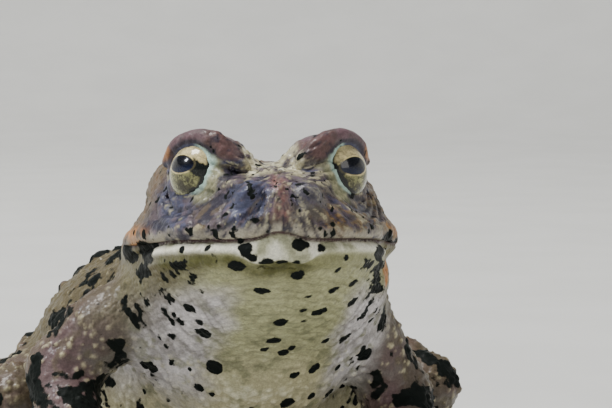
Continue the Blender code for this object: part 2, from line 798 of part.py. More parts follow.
def part_limbs(main, side, parts, cutters):
    """Severs one side's leg and arm from the trunk, and divides them at their joints."""
    unit = Matrix.Diagonal((UNIT, UNIT, UNIT, 1))
    letter = "l" if side > 0 else "r"
    at = {name: Vector(mirrored(point, side)) for name, point in JOINTS[side].items()}

    def fold_plate(name, joint, first, second, reach, half_height):
        """A cutter on the plane that halves a bent joint."""
        one, other = (first - joint).normalized(), (second - joint).normalized()
        return thin_plate(name, unit, joint, one - other, one + other, reach, half_height, cutters)

    plate = fold_plate("knee_" + letter, at["knee"], at["thigh"], at["calf"], (-9, 27), 13)
    shank = sever(main, plate, "shank_" + letter, at["calf"], parts)
    under_calf = at["calf"] - Vector((0, 0, CALF_SAG))
    plate = fold_plate("ankle_" + letter, at["ankle"], under_calf, at["tarsus"], (-8, 24), 9)
    sever(shank, plate, "foot_" + letter, at["sole"], parts)
    centre, normal = mirrored(HIP_CUT, side), mirrored(HIP_CUT_NORMAL, side)
    plate = thin_plate("hip_" + letter, unit, centre, normal, (0, 1, 0), (-16, 15), 12, cutters)
    sever(main, plate, "thigh_" + letter, at["knee"], parts)
    centre, normal = mirrored(SHOULDER_CUT[side], side), mirrored(SHOULDER_CUT_NORMAL[side], side)
    plate = thin_plate("shoulder_" + letter, unit, centre, normal, (0, 1, 0), (-7, 7), 7, cutters)
    upper_arm = sever(main, plate, "upper_arm_" + letter, at["forearm"], parts)
    plate = fold_plate("elbow_" + letter, at["elbow"], at["biceps"], at["forearm"], (-7, 9), 8)
    forearm = sever(upper_arm, plate, "forearm_" + letter, at["wrist"], parts)
    normal, outwards = at["forearm"] - at["wrist"], (side, 0, 0)
    plate = thin_plate("wrist_" + letter, unit, at["wrist"], normal, outwards, (-6, 6), 7, cutters)
    sever(forearm, plate, "hand_" + letter, at["palm"], parts)


def main():
    for item in list(bpy.data.objects):
        bpy.data.objects.remove(item)
    parts = bpy.data.collections.new("western_toad")
    cutters = bpy.data.collections.new("cutters")
    for collection in (parts, cutters):
        bpy.context.scene.collection.children.link(collection)
    unit = Matrix.Diagonal((UNIT, UNIT, UNIT, 1))
    frame = unit @ head_matrix()
    trunk = skin_of(Toad(), parts)
    trunk.name = "torso"
    collar = thin_plate(
        "collar", frame, COLLAR, COLLAR_NORMAL, (0, -1, 0), (-26, 26), 28, cutters
    )
    label = head_matrix() @ Vector((0, -8, 0))
    head = sever(trunk, collar, "head", label, parts)
    label = head_matrix() @ Vector((0, -4, -6))
    sever(head, mouth_cutter(frame, cutters), "lower_jaw", label, parts)
    for side, letter in ((1, "l"), (-1, "r")):
        socket = eyeball("socket_" + letter, side, EYE_RADIUS + GAP / UNIT, cutters)
        socket.hide_render = True
        cut(head, socket)
        cut(head, nostril(side, letter, cutters))
        eyeball("eye_" + letter, side, EYE_RADIUS, parts)
        part_limbs(trunk, side, parts, cutters)
    keep_largest(head)
    for item in [*parts.objects, *cutters.objects]:
        item.location.y += SHIFT * UNIT
    for item in parts.objects:
        kind = item.name.removesuffix("_l").removesuffix("_r")
        paint(item, COLOURS[kind], EYE_ROUGHNESS if kind == "eye" else SKIN_ROUGHNESS)


if __name__ == "__main__":
    main()
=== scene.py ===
"""A western toad sitting with its head raised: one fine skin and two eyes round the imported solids."""
import json
import math
import random
from itertools import product

import bmesh
import bpy
import numpy as np
from mathutils import Euler, Matrix, Vector

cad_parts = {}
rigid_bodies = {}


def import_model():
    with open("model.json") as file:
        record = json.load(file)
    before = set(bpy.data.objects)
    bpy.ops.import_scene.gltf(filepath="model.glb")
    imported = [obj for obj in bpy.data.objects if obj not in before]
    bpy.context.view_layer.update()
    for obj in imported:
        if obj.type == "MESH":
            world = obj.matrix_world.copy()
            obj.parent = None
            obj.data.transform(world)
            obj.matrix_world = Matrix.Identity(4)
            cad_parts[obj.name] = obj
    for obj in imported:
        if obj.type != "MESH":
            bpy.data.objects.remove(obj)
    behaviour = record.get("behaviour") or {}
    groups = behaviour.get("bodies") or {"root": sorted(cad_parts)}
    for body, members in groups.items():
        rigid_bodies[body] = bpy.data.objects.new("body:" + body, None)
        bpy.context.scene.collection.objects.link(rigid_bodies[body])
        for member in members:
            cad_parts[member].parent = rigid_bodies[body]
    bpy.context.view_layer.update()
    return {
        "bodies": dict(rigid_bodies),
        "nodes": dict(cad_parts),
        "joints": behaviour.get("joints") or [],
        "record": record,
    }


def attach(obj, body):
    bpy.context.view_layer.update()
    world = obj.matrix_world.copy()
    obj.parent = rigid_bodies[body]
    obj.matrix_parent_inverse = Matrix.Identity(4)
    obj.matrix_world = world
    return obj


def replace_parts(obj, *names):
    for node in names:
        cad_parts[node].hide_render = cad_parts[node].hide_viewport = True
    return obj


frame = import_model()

# The photograph's viewpoint: degrees round the toad and above the floor, and millimetres
CAMERA_AZIMUTH = -15.0
CAMERA_ELEVATION = 5.0
CAMERA_DISTANCE = 325.0
CAMERA_LENS = 142.0
CAMERA_AIM = (5.9, 5.1)

# The studio's floor and its wall, in metres
FLOOR_RADIUS = 0.8
WALL_CURVE = 0.4
WALL_TOP = 0.5
WALL_STEPS = 12

# The visible skin: how fine it is, and how sharply the lips meet
FINE_VOXEL = 0.00027
LIP_BLEND = 0.5

# Driving sizes, in metres
SNOUT_VENT = 0.100

# The tables below are in hundredths of the snout to vent length, which is 1 mm in this toad
UNIT = SNOUT_VENT / 100

# How far the finished toad is moved along Y, so that its box is centred on the origin
SHIFT = -3.35

# The head: its frame sits between the jaw angles, at the mouth line
HEAD_BASE = (-0.6, -16.0, 37.0)
HEAD_PITCH = 6.0
HEAD_YAW = 9.0
MOUTH_HALF_WIDTH = 16.0
MOUTH_LENGTH = 25.0
MOUTH_BLUNTNESS = 2.25
LIP_PEAK = 1.0
LIP_PEAK_WIDTH = 2.6
MOUTH_CORNER_DROP = 0.6

# The lower lip's depth at the sides and how much more it is in the middle, and the height that
# the snout's folds fan out from
LIP_DEPTH = 1.15
LIP_SAG = 1.95
LIP_SAG_HALF_WIDTH = 4.4
FAN_TOP = 8.5

# The eyes, in the head's frame
EYE_CENTRE = (8.5, -11.0, 8.8)
EYE_RADIUS = 4.4
EYE_YAW = 50.0
EYE_LIFT = 8.0
LID_ANGLE = 71.0

# The creases under the eye: how far from its axis, and how deep
LID_CREASES = ((5.3, 0.34), (6.3, 0.28), (7.5, 0.20))

# The left nostril, in the head's frame, and its slit, which slants down and outwards
NOSTRIL = (3.5, -24.1, 6.1)
SLIT_RADII = (0.95, 1.5, 0.32)
SLIT_TURN = 36.0

# Warts: where they grow, as an axis with its two ends or joints, the spread to each side of the
# back in degrees, how many, and their smallest and largest radius
WART_SEED = 11
WART_SPACING = 1.15
TRIES = 8
WART_STEEPNESS = (0.36, 0.5)
TRUNK_WARTS = ((0, -1, 30), (0, 41, 15), 112, 72, (1.3, 2.8))
HEAD_WARTS = ((9, -6, 38), (17, -4, 40), 70, 3, (1.0, 1.4))
LIMB_WARTS = (
    ("thigh", "knee", 75, 6, (1.1, 1.8)),
    ("knee", "ankle", 80, 8, (1.0, 1.9)),
    ("biceps", "elbow", 80, 5, (0.9, 1.4)),
    ("forearm", "wrist", 90, 4, (0.9, 1.2)),
)

# The collar, where the head ends: a point, and the way towards the snout, in the head's frame
COLLAR = (0.0, 5.2, -4.0)
COLLAR_NORMAL = (0.0, -0.874, 0.486)

# How softly one form runs into the next
HEAD_BLEND = 2.6
NECK_BLEND = 6.0
TORSO_BLEND = 7.0
LIMB_BLEND = 2.4
SKIN_FOLD_BLEND = 1.2

# Beyond this far from the head's middle, and above this height, the head and the limbs add nothing
HEAD_MIDDLE = (0.0, -4.5, -1.0)
HEAD_REACH = 30.0
LIMB_TOP = 38.0


def unit_shape(build, **sizes):
    """One primitive's corners and faces, as arrays, to be copied many times."""
    shape = bmesh.new()
    build(shape, **sizes)
    bmesh.ops.recalc_face_normals(shape, faces=shape.faces)
    points = np.array([corner.co for corner in shape.verts])
    faces = [[corner.index for corner in face.verts] for face in shape.faces]
    shape.free()
    return points, faces


BALL = unit_shape(bmesh.ops.create_uvsphere, u_segments=24, v_segments=16, radius=1)
ROD = unit_shape(
    bmesh.ops.create_cone, cap_ends=True, segments=20, radius1=1, radius2=1, depth=1
)


class Soup:
    """Closed shapes that overlap, gathered into one mesh."""

    def __init__(self):
        self.points = []
        self.faces = []
        self.count = 0

    def add(self, shape, place):
        """Adds points with their faces, carried by a 4 by 4 matrix."""
        points, faces = shape
        place = np.array(place)
        if np.linalg.det(place[:3, :3]) < 0:
            faces = [face[::-1] for face in faces]
        self.points.append(points @ place[:3, :3].T + place[:3, 3])
        self.faces += [[corner + self.count for corner in face] for face in faces]
        self.count += len(points)

    def mesh(self, name):
        found = bpy.data.meshes.new(name)
        found.from_pydata(np.concatenate(self.points), [], self.faces)
        return found


def lengths(vectors):
    return np.linalg.norm(vectors, axis=1)


def folded(points):
    """The points, with those on the toad's right brought over to its left."""
    found = points.copy()
    found[:, 0] = np.abs(found[:, 0])
    return found


def smooth_union(first, second, blend):
    """The nearer of two distances, with a fillet of the given width where they meet."""
    overlap = np.maximum(blend - np.abs(first - second), 0.0) / blend
    return np.minimum(first, second) - overlap * overlap * blend / 4


class Lump:
    """An ellipsoid, turned by degrees about X, Y and Z."""

    def __init__(self, centre, radii, turn=(0, 0, 0), blend=HEAD_BLEND):
        self.centre = np.array(centre, float)
        self.radii = np.array(radii, float)
        self.turn = Euler([math.radians(angle) for angle in turn]).to_matrix()
        self.axes = np.array(self.turn)
        self.blend = blend

    def distance(self, points):
        local = (points - self.centre) @ self.axes / self.radii
        near = lengths(local)
        steep = lengths(local / self.radii)
        return near * (near - 1) / np.maximum(steep, 1e-6)

    def add_to(self, soup, frame):
        place = frame @ Matrix.Translation(self.centre) @ self.turn.to_4x4()
        soup.add(BALL, place @ Matrix.Diagonal((*self.radii, 1)))


class Taper:
    """A round cone from one ball to another."""

    def __init__(self, start, end, *radii):
        self.start = np.array(start, float)
        self.end = np.array(end, float)
        self.radii = radii

    def distance(self, points):
        along = self.end - self.start
        share = np.clip((points - self.start) @ along / (along @ along), 0, 1)
        nearest = self.start + share[:, None] * along
        radius = self.radii[0] + share * (self.radii[1] - self.radii[0])
        return lengths(points - nearest) - radius

    def add_to(self, soup, frame):
        along = Vector(self.end - self.start)
        aim = along.to_track_quat("Z", "Y").to_matrix().to_4x4()
        middle = Matrix.Translation((self.start + self.end) / 2)
        share = ROD[0][:, 2:] + 0.5
        points = ROD[0] * (1, 1, along.length)
        points[:, :2] *= self.radii[0] + share * (self.radii[1] - self.radii[0])
        soup.add((points, ROD[1]), frame @ middle @ aim)
        for centre, radius in zip((self.start, self.end), self.radii):
            soup.add(BALL, frame @ Matrix.Translation(centre) @ Matrix.Scale(radius, 4))


class Rim:
    """A ring of skin round an opening."""

    def __init__(self, centre, axis, radius, tube, blend=SKIN_FOLD_BLEND):
        self.centre = np.array(centre, float)
        self.axis = np.array(Vector(axis).normalized())
        self.radius = radius
        self.tube = tube
        self.blend = blend

    def distance(self, points):
        offset = points - self.centre
        height = offset @ self.axis
        reach = lengths(offset - height[:, None] * self.axis)
        return np.hypot(reach - self.radius, height) - self.tube

    def add_to(self, soup, frame, segments=24):
        up = np.array((0.0, 0.0, 1.0)) - self.axis[2] * self.axis
        up /= np.linalg.norm(up)
        side = np.cross(up, self.axis)
        for step in range(segments):
            angle = math.tau * step / segments
            spoke = math.cos(angle) * up + math.sin(angle) * side
            place = frame @ Matrix.Translation(self.centre + spoke * self.radius)
            soup.add(BALL, place @ Matrix.Scale(self.tube, 4))


class Chain:
    """Round cones that join a row of points, with no swelling where one runs into the next."""

    def __init__(self, points, radii, blend=LIMB_BLEND):
        pairs = zip(points, points[1:], radii, radii[1:])
        self.links = [Taper(*pair) for pair in pairs]
        self.blend = blend

    def distance(self, points):
        return np.min([link.distance(points) for link in self.links], axis=0)

    def add_to(self, soup, frame):
        for link in self.links:
            link.add_to(soup, frame)


def rounded(points, steps=4):
    """Points along a smooth curve through the given ones."""
    points = [np.array(point, float) for point in points]
    padded = [2 * points[0] - points[1], *points, 2 * points[-1] - points[-2]]
    found = []
    for i in range(len(points) - 1):
        before, start, end, after = padded[i : i + 4]
        for step in range(steps):
            t = step / steps
            bend = 2 * before - 5 * start + 4 * end - after
            twist = 3 * (start - end) + after - before
            found.append(start + (t * (end - before) + t * t * bend + t * t * t * twist) / 2)
    return [*found, points[-1]]


def mirrored(point, side):
    return (point[0] * side, point[1], point[2])


def eye_axis():
    """The way the left eye looks, in the head's frame: forward is -Y."""
    yaw, lift = math.radians(EYE_YAW), math.radians(EYE_LIFT)
    return (math.sin(yaw) * math.cos(lift), -math.cos(yaw) * math.cos(lift), math.sin(lift))


def lip_point(angle, inset, height):
    """A point on the left half of the mouth's outline: 0 is the snout, 90 degrees the corner."""
    power = 2 / MOUTH_BLUNTNESS
    x = (MOUTH_HALF_WIDTH - inset) * math.sin(angle) ** power
    y = -(MOUTH_LENGTH - inset) * math.cos(angle) ** power
    peak = LIP_PEAK * math.exp(-((x / LIP_PEAK_WIDTH) ** 2))
    drop = MOUTH_CORNER_DROP * max(0.0, math.sin(angle)) ** 8
    return (x, y, height + peak - drop)


def lip(inset, height, front_radius, corner_radius, steps=16):
    """One lip, as a bead along the mouth's outline from the snout to the corner."""
    shares = [i / steps for i in range(steps + 1)]
    points = [lip_point(math.radians(90) * share, inset, height) for share in shares]
    radii = [front_radius + share * (corner_radius - front_radius) for share in shares]
    return Chain(points, radii, SKIN_FOLD_BLEND)


# The thick edge of the upper eyelid, from the temple to the snout, as centres with their radii
BROW = (
    ((12.9, -7.2, 10.6), 0.8),
    ((12.0, -9.8, 12.5), 0.95),
    ((10.1, -12.0, 13.5), 1.05),
    ((7.9, -13.7, 13.3), 1.25),
    ((5.9, -14.8, 12.0), 1.35),
    ((4.1, -15.3, 10.2), 1.15),
)

# The bead of skin that the upper lip ends in, over the jaw's angle
JAW_BEAD = ((17.0, 5.0, -0.8), (17.2, 1.5, 0.1), (16.6, -3.0, 0.9), (15.4, -8.0, 1.2))


def upper_head():
    """The left half of the head above the mouth line, with brow, eyelid rim and gland."""
    axis = eye_axis()
    lid = math.radians(LID_ANGLE)
    ring_centre = [EYE_CENTRE[i] + axis[i] * EYE_RADIUS * math.cos(lid) for i in range(3)]
    brow = rounded([(*point, radius) for point, radius in BROW])
    return [
        Lump((0, -5.5, 3.9), (12.0, 17.5, 6.5)),
        Lump((0, -15.5, 2.6), (9.6, 10.4, 4.4)),
        Lump((0, -4.5, 1.9), (15.6, 19.6, 3.9)),
        Lump((11.0, -2.5, 3.0), (4.7, 9.0, 4.9)),
        Lump((14.2, 2.5, -0.3), (3.4, 6.5, 4.0)),
        Lump((9.6, 0.5, 6.8), (4.5, 8.0, 4.7)),
        Lump((0, 6.0, 4.5), (12.4, 11.0, 6.5)),
        Lump((0, -17.0, 5.6), (4.2, 7.0, 2.7), (10, 0, 0), 2.2),
        Chain(((6.4, -15.6, 7.4), (4.0, -22.0, 6.0)), (1.7, 1.4), 1.6),
        Lump((3.4, -23.2, 5.6), (1.7, 1.8, 1.6), blend=1.4),
        Lump((0, -24.0, 4.4), (1.7, 1.7, 2.7), blend=1.2),
        Lump((7.0, -9.7, 8.5), (5.5, 5.7, 5.5), blend=1.8),
        Lump((10.8, 4.6, 7.4), (4.1, 7.2, 3.9), (-16, 0, -12), 1.6),
        Chain([point[:3] for point in brow], [point[3] for point in brow], 1.2),
        Rim(ring_centre, axis, EYE_RADIUS * math.sin(lid), 0.6),
        Rim((14.6, -1.4, 5.0), (1, -0.12, 0.25), 2.0, 0.5, 0.8),
        lip(0.9, 1.5, 1.5, 1.3),
        Chain(JAW_BEAD, (1.0, 1.35, 1.25, 0.9), 1.6),
    ]


def lower_head():
    """The left half of the lower jaw and throat."""
    return [
        Lump((0, -4.5, -3.6), (14.7, 19.0, 3.8)),
        Lump((12.8, 1.5, -4.5), (4.4, 7.0, 5.0)),
        Lump((0, 0.5, -8.0), (13.9, 17.0, 7.8), (-14, 0, 0), 5.0),
        Lump((0, -23.8, -1.1), (3.4, 1.6, 1.9), blend=1.0),
        lip(1.3, -1.7, 1.75, 1.35),
    ]


def torso():
    """The left half of the trunk, in the toad's own frame."""
    trunk = (
        ((0, -5, 25.5), (15.6, 15.0, 16.0), 0),
        ((0, 1, 31.5), (14.6, 14.5, 10.6), 0),
        ((0, 17, 20.4), (24.6, 20.5, 14.2), -14),
        ((0, 17.5, 14.6), (25.0, 20.5, 15.0), 0),
        ((0, 24, 19.6), (19.0, 15.0, 12.4), -24),
        ((0, 32, 13.8), (17.5, 13.5, 12.2), 0),
        ((0, 42, 9.2), (6.5, 5.5, 5.5), 0),
    )
    return [
        *(Lump(centre, radii, (pitch, 0, 0), TORSO_BLEND) for centre, radii, pitch in trunk),
        Lump((12.4, -7.5, 26.0), (5.8, 7.5, 7.5), blend=4.0),
        Lump((11.5, -3.0, 33.0), (4.5, 7.0, 5.5), blend=3.0),
    ]


# Each limb's joints, measured outwards from the toad's middle: the left arm, 1, hangs close to
# the chest, and the right one, -1, stands out
ARMS = {
    1: {
        "shoulder": (11.5, -9.0, 26.5),
        "biceps": (16.4, -8.0, 21.6),
        "elbow": (21.1, -7.4, 13.8),
        "forearm": (20.5, -13.5, 9.0),
        "wrist": (17.6, -20.5, 4.6),
        "palm": (15.8, -25.2, 1.5),
    },
    -1: {
        "shoulder": (12.6, -9.0, 27.5),
        "biceps": (20.4, -7.6, 25.0),
        "elbow": (26.2, -6.0, 19.0),
        "forearm": (26.4, -12.0, 12.6),
        "wrist": (24.0, -17.8, 5.2),
        "palm": (22.2, -22.8, 1.5),
    },
}
LEG = {
    "hip": (11.0, 33.0, 13.6),
    "thigh": (23.0, 21.8, 13.2),
    "knee": (31.0, 10.5, 12.0),
    "calf": (30.6, 23.0, 10.6),
    "ankle": (26.0, 40.5, 6.2),
    "tarsus": (30.2, 27.5, 3.1),
    "sole": (32.0, 20.5, 1.2),
}
JOINTS = {side: {**arm, **LEG} for side, arm in ARMS.items()}

# Fingers and toes from root to tip, measured from the palm and from the sole
FINGERS = (
    ((-2.8, -0.4), (-8.8, -5.2)),
    ((-1.8, -3.4), (-5.4, -11.8)),
    ((0.8, -4.2), (1.4, -14.4)),
    ((3.0, -2.4), (8.4, -10.0)),
)
TOES = (
    ((-2.4, -1.5), (-5.6, -8.9)),
    ((-0.6, -3.5), (-2.0, -15.9)),
    ((1.4, -4.1), (3.8, -22.5)),
    ((3.0, -3.1), (11.4, -24.1)),
    ((3.4, -0.9), (13.6, -12.1)),
)
DIGIT_HEIGHT = 0.85
DIGIT_RADII = (1.75, 1.35, 1.3)
WEB_HEIGHT = 0.9


def digit(root, tip, side):
    """A finger or toe lying on the floor, a little swollen at its tip."""
    middle = root * 0.45 + tip * 0.55
    points = [(x * side, y, DIGIT_HEIGHT) for x, y in (root, middle, tip)]
    return Chain(points, DIGIT_RADII, 0.9)


def webs(digits, side, share, half_width):
    """Low webs on the floor between neighbouring digits."""
    found = []
    for (root, tip), (next_root, next_tip) in zip(digits, digits[1:]):
        start = (root + next_root) / 2
        end = start + share * ((tip + next_tip) / 2 - start)
        x, y = (start + end) / 2
        length = math.dist(start, end) / 2 + 1.0
        turn = math.degrees(math.atan2(end[1] - start[1], (end[0] - start[0]) * side)) - 90
        radii = (half_width, length, WEB_HEIGHT + 0.4)
        found.append(Lump((x * side, y, -0.4), radii, (0, 0, turn), 1.0))
    return found


def arm(side):
    """An upper arm, forearm and hand."""
    joints = [mirrored(point, side) for point in ARMS[side].values()]
    shoulder, biceps, elbow, forearm, wrist, palm = joints
    fingers = np.array(FINGERS) + ARMS[side]["palm"][:2]
    return [
        Chain([shoulder, biceps, elbow], (6.2, 5.3, 4.5), 3.0),
        Chain([elbow, forearm, wrist], (4.4, 4.6, 3.0)),
        Chain([wrist, palm], (3.0, 2.4)),
        Lump(palm, (4.3, 5.2, 2.2), (0, 0, -14 * side), 1.2),
        *(digit(*ends, side) for ends in fingers),
        *webs(fingers, side, 0.28, 1.6),
    ]


def leg(side):
    """A thigh, shank and foot, folded as the toad sits."""
    joints = [mirrored(point, side) for point in LEG.values()]
    hip, thigh, knee, calf, ankle, tarsus, sole = joints
    toes = np.array(TOES) + LEG["sole"][:2]
    return [
        Chain([hip, thigh, knee], (8.2, 7.2, 4.7), 3.0),
        Chain([knee, calf, ankle], (4.6, 5.8, 3.4), 1.4),
        Chain([ankle, tarsus, sole], (3.2, 2.8, 2.4), 1.2),
        Lump(sole, (4.4, 7.0, 2.2), (0, 0, 22 * side), 1.2),
        *(digit(*ends, side) for ends in toes),
        *webs(toes, side, 0.5, 2.6),
    ]


def head_matrix():
    """From the head's frame to the toad's, both in table units."""
    yaw = Matrix.Rotation(math.radians(-HEAD_YAW), 4, "Z")
    pitch = Matrix.Rotation(math.radians(-HEAD_PITCH), 4, "X")
    return Matrix.Translation(HEAD_BASE) @ yaw @ pitch


def combine(lumps, points):
    found = None
    for lump in lumps:
        distance = lump.distance(points)
        found = distance if found is None else smooth_union(found, distance, lump.blend)
    return found


class Toad:
    """The whole blend: it says how far a point is from the skin, and adds its lumps to a mesh."""

    def __init__(self):
        self.upper = upper_head()
        self.lower = lower_head()
        self.torso = torso()
        self.limbs = {side: arm(side) + leg(side) for side in (1, -1)}
        self.head = np.array(head_matrix())

    def in_head(self, points):
        """The points in the head's frame."""
        return (points - self.head[:3, 3]) @ self.head[:3, :3]

    def limb_distances(self, points):
        """For each side: which points its limbs may reach, and how far these are from them."""
        for side, limbs in self.limbs.items():
            near = (points[:, 0] * side > 0) & (points[:, 2] < LIMB_TOP)
            yield near, combine(limbs, points[near])

    def distance(self, points):
        found = combine(self.torso, folded(points))
        in_head = self.in_head(points)
        near = lengths(in_head - HEAD_MIDDLE) < HEAD_REACH
        in_head = folded(in_head[near])
        head = smooth_union(combine(self.upper, in_head), combine(self.lower, in_head), LIP_BLEND)
        found[near] = smooth_union(head, found[near], NECK_BLEND)
        for near, limb in self.limb_distances(points):
            found[near] = smooth_union(found[near], limb, LIMB_BLEND)
        return found

    def slope(self, points, distance, step=0.02):
        rises = [self.distance(points + step * way) - distance for way in np.eye(3)]
        return np.stack(rises, 1) / step

    def settle(self, mesh, rounds=5, reach=0.8, close=0.004):
        """Moves a mesh's corners along the slope onto the blend, and flat where the floor is."""
        points = vectors(mesh.vertices, "co") / UNIT
        moving = np.arange(len(points))
        for _ in range(rounds):
            distance = self.distance(points[moving])
            far = np.abs(distance) > close
            moving, distance = moving[far], distance[far]
            slope = self.slope(points[moving], distance)
            steep = np.maximum((slope * slope).sum(1), 0.25)
            points[moving] -= (np.clip(distance, -reach, reach) / steep)[:, None] * slope
        points[:, 2] = np.maximum(points[:, 2], 0.0)
        move_corners(mesh, points)
        return points

    def leave(self, origins, directions, reach=45.0, halvings=20):
        """Where lines from inside the toad first leave its skin."""
        near, far = np.zeros((len(origins), 1)), np.full((len(origins), 1), reach)
        for _ in range(halvings):
            middle = (near + far) / 2
            inside = (self.distance(origins + middle * directions) < 0)[:, None]
            near, far = np.where(inside, middle, near), np.where(inside, far, middle)
        return origins + near * directions

    def add_to(self, soup):
        unit = Matrix.Diagonal((UNIT, UNIT, UNIT, 1))
        head = unit @ head_matrix()
        flip = Matrix.Diagonal((-1, 1, 1, 1))
        for lumps, frame in ((self.upper + self.lower, head), (self.torso, unit)):
            for lump in lumps:
                lump.add_to(soup, frame)
                lump.add_to(soup, frame @ flip)
        for limbs in self.limbs.values():
            for lump in limbs:
                lump.add_to(soup, unit)


def wart_sites(toad):
    """Warts as (place, radius, height), scattered round the axes of the trunk and the limbs."""
    draw = random.Random(WART_SEED)
    fields = [TRUNK_WARTS]
    for side in (1, -1):
        fields.append((*(mirrored(point, side) for point in HEAD_WARTS[:2]), *HEAD_WARTS[2:]))
        for first, last, *rest in LIMB_WARTS:
            ends = (mirrored(JOINTS[side][name], side) for name in (first, last))
            fields.append((*ends, *rest))
    found = []
    for start, end, spread, count, (smallest, largest) in fields:
        draws = np.array([[draw.random() for _ in range(3)] for _ in range(count * TRIES)])
        start, end = np.array(start, float), np.array(end, float)
        along = (end - start) / np.linalg.norm(end - start)
        up = np.array((0.0, 0.0, 1.0)) - along[2] * along
        up /= np.linalg.norm(up)
        side = np.cross(along, up)
        angles = math.radians(spread) * (2 * draws[:, 1:2] - 1)
        origins = start + draws[:, :1] * (end - start)
        places = toad.leave(origins, np.cos(angles) * up + np.sin(angles) * side)
        sizes = smallest + (largest - smallest) * draws[:, 2] ** 2
        kept = 0
        for place, size in zip(places, sizes):
            clear = all(
                math.dist(place, other) > WART_SPACING * (size + near) for other, near, _ in found
            )
            if kept < count and clear and place[2] > size:
                found.append((place, size, size * draw.uniform(*WART_STEEPNESS)))
                kept += 1
    return found


def object_from(data, name):
    found = bpy.data.objects.new(name, data)
    bpy.context.scene.collection.objects.link(found)
    return found


def vectors(rows, field):
    """One vector for each row of a mesh, as an array."""
    found = np.empty(len(rows) * 3)
    rows.foreach_get(field, found)
    return found.reshape(-1, 3)


def move_corners(mesh, points):
    """Puts the mesh's corners at points given in table units."""
    mesh.vertices.foreach_set("co", (points * UNIT).ravel())
    mesh.update()


# Colours, as linear red, green and blue
OLIVE = (0.105, 0.084, 0.042)
EARTH = (0.135, 0.080, 0.040)
BLACK = (0.007, 0.009, 0.008)
RUST = (0.105, 0.052, 0.042)
TAN = (0.460, 0.190, 0.045)
OCHRE = (0.420, 0.235, 0.045)
CREAM = (0.480, 0.435, 0.270)
WHITE = (0.860, 0.840, 0.690)
THROAT = (0.410, 0.410, 0.225)
LILAC = (0.690, 0.650, 0.670)
SLATE = (0.062, 0.068, 0.125)
# Violet, partly the skin's tone and partly a painted sheen of the sky on the wet snout
VIOLET_SHEEN = (0.115, 0.086, 0.105)
BROWN = (0.088, 0.064, 0.044)
GREY = (0.125, 0.112, 0.100)
INK = (0.020, 0.018, 0.034)
MAUVE = (0.145, 0.085, 0.098)
PINK = (0.300, 0.135, 0.115)
MINT = (0.420, 0.580, 0.500)
MOSS = (0.190, 0.195, 0.105)
LIP_GREY = (0.330, 0.295, 0.225)
LINE = (0.060, 0.026, 0.028)
# Painted shade: the olive band under the lower lip
PAINTED_SHADE = (0.100, 0.098, 0.024)

# Dark spots of the lips and throat, in the head's frame: centres with their radii
SPOTS = (
    (-4.1, -24.8, -1.0, 0.95), (-5.0, -24.3, 0.0, 0.5), (-3.4, -25.0, -1.9, 0.6),
    (2.4, -25.4, -0.4, 0.85), (3.4, -25.1, -0.5, 0.5), (-11.7, -18.6, -0.9, 0.5),
    (-8.7, -22.1, -0.7, 0.45), (5.3, -24.3, -0.9, 0.55), (-1.6, -25.0, -2.5, 0.75),
    (0.3, -24.9, -2.8, 0.65), (2.1, -24.9, -2.6, 0.5), (-13.9, -10.6, -4.6, 0.8),
    (12.3, -11.7, -4.6, 0.8), (-3.0, -25.7, 2.6, 0.4), (-5.7, -24.6, 1.6, 0.35),
    (5.1, -24.9, 1.5, 0.4), (6.8, -23.9, 2.1, 0.35), (-7.5, -23.5, 2.0, 0.35),
    (-5.3, -23.5, -3.1, 1.0), (2.5, -22.9, -4.4, 0.85), (-10.4, -17.6, -4.3, 0.55),
    (-12.9, -13.8, -4.1, 0.75), (-12.9, -8.3, -7.3, 0.75), (-10.6, -9.9, -8.6, 1.0),
    (-12.7, -3.0, -12.8, 0.9), (-8.6, -6.7, -12.0, 1.1), (7.8, -16.3, -6.3, 0.7),
    (10.5, -15.1, -5.4, 0.8), (6.3, -12.9, -9.2, 1.0), (4.0, -14.3, -9.0, 0.55),
    (1.0, -12.6, -10.5, 0.9), (4.4, -16.8, -7.1, 0.5), (-1.9, -19.1, -6.2, 0.9),
    (10.8, -10.4, -8.1, 1.0), (11.0, -2.0, -13.3, 1.1), (0.6, -8.4, -13.0, 1.0),
    (2.3, -5.4, -14.9, 0.8), (8.8, -22.2, -2.2, 0.5), (7.8, -21.0, -3.7, 0.5),
)

# A tan spot, and dark patches with their half sizes, under the jaw's angles
TAN_SPOT = (16.4, -3.0, -4.3)
CORNER_MARKS = (
    ((-18.0, 0.5, -1.5), (2.2, 2.6, 1.5)),
    ((-15.9, -7.0, -1.3), (2.2, 4.0, 1.6)),
    ((-16.5, -3.8, -3.8), (2.0, 3.2, 0.9)),
    ((14.2, -12.6, -1.7), (2.0, 4.2, 1.1)),
    ((14.4, -9.6, -3.6), (2.0, 4.2, 1.2)),
    ((14.6, -7.5, -5.0), (1.8, 3.0, 1.0)),
    ((14.5, -6.0, -6.4), (1.8, 2.4, 0.9)),
)

# The colours' patches, from broad ones to specks: their size and the noise's seed
CLOUDS = ((3.4, 111), (1.3, 121), (0.6, 131))

# Turns and stretches a pattern so that it runs down and inwards on both sides
SLANT = np.array(((0.8, 0.0, 0.22), (0.0, 0.35, 0.0), (-0.6, 0.0, 0.28)))


def ramp(value, start, end):
    """Rises smoothly from 0 at start to 1 at end."""
    share = np.clip((value - start) / (end - start), 0, 1)
    return share * share * (3 - 2 * share)


def bell(value, width):
    """1 where the value is 0, and less and less beyond the width."""
    return np.exp(-((value / width) ** 2))


def lattice(cells, seed):
    """A repeatable number from 0 to 1 for each whole-numbered cell."""
    x, y, z = (cells[:, axis].astype(np.int64) for axis in range(3))
    mixed = (x * 73856093) ^ (y * 19349663) ^ (z * 83492791) ^ (seed * 97531)
    mixed = ((mixed ^ (mixed >> 13)) * 1274126177) & 0xFFFFFFFF
    mixed = ((mixed ^ (mixed >> 16)) * 668265263) & 0xFFFFFFFF
    return ((mixed ^ (mixed >> 15)) & 0xFFFFFF) / 0xFFFFFF


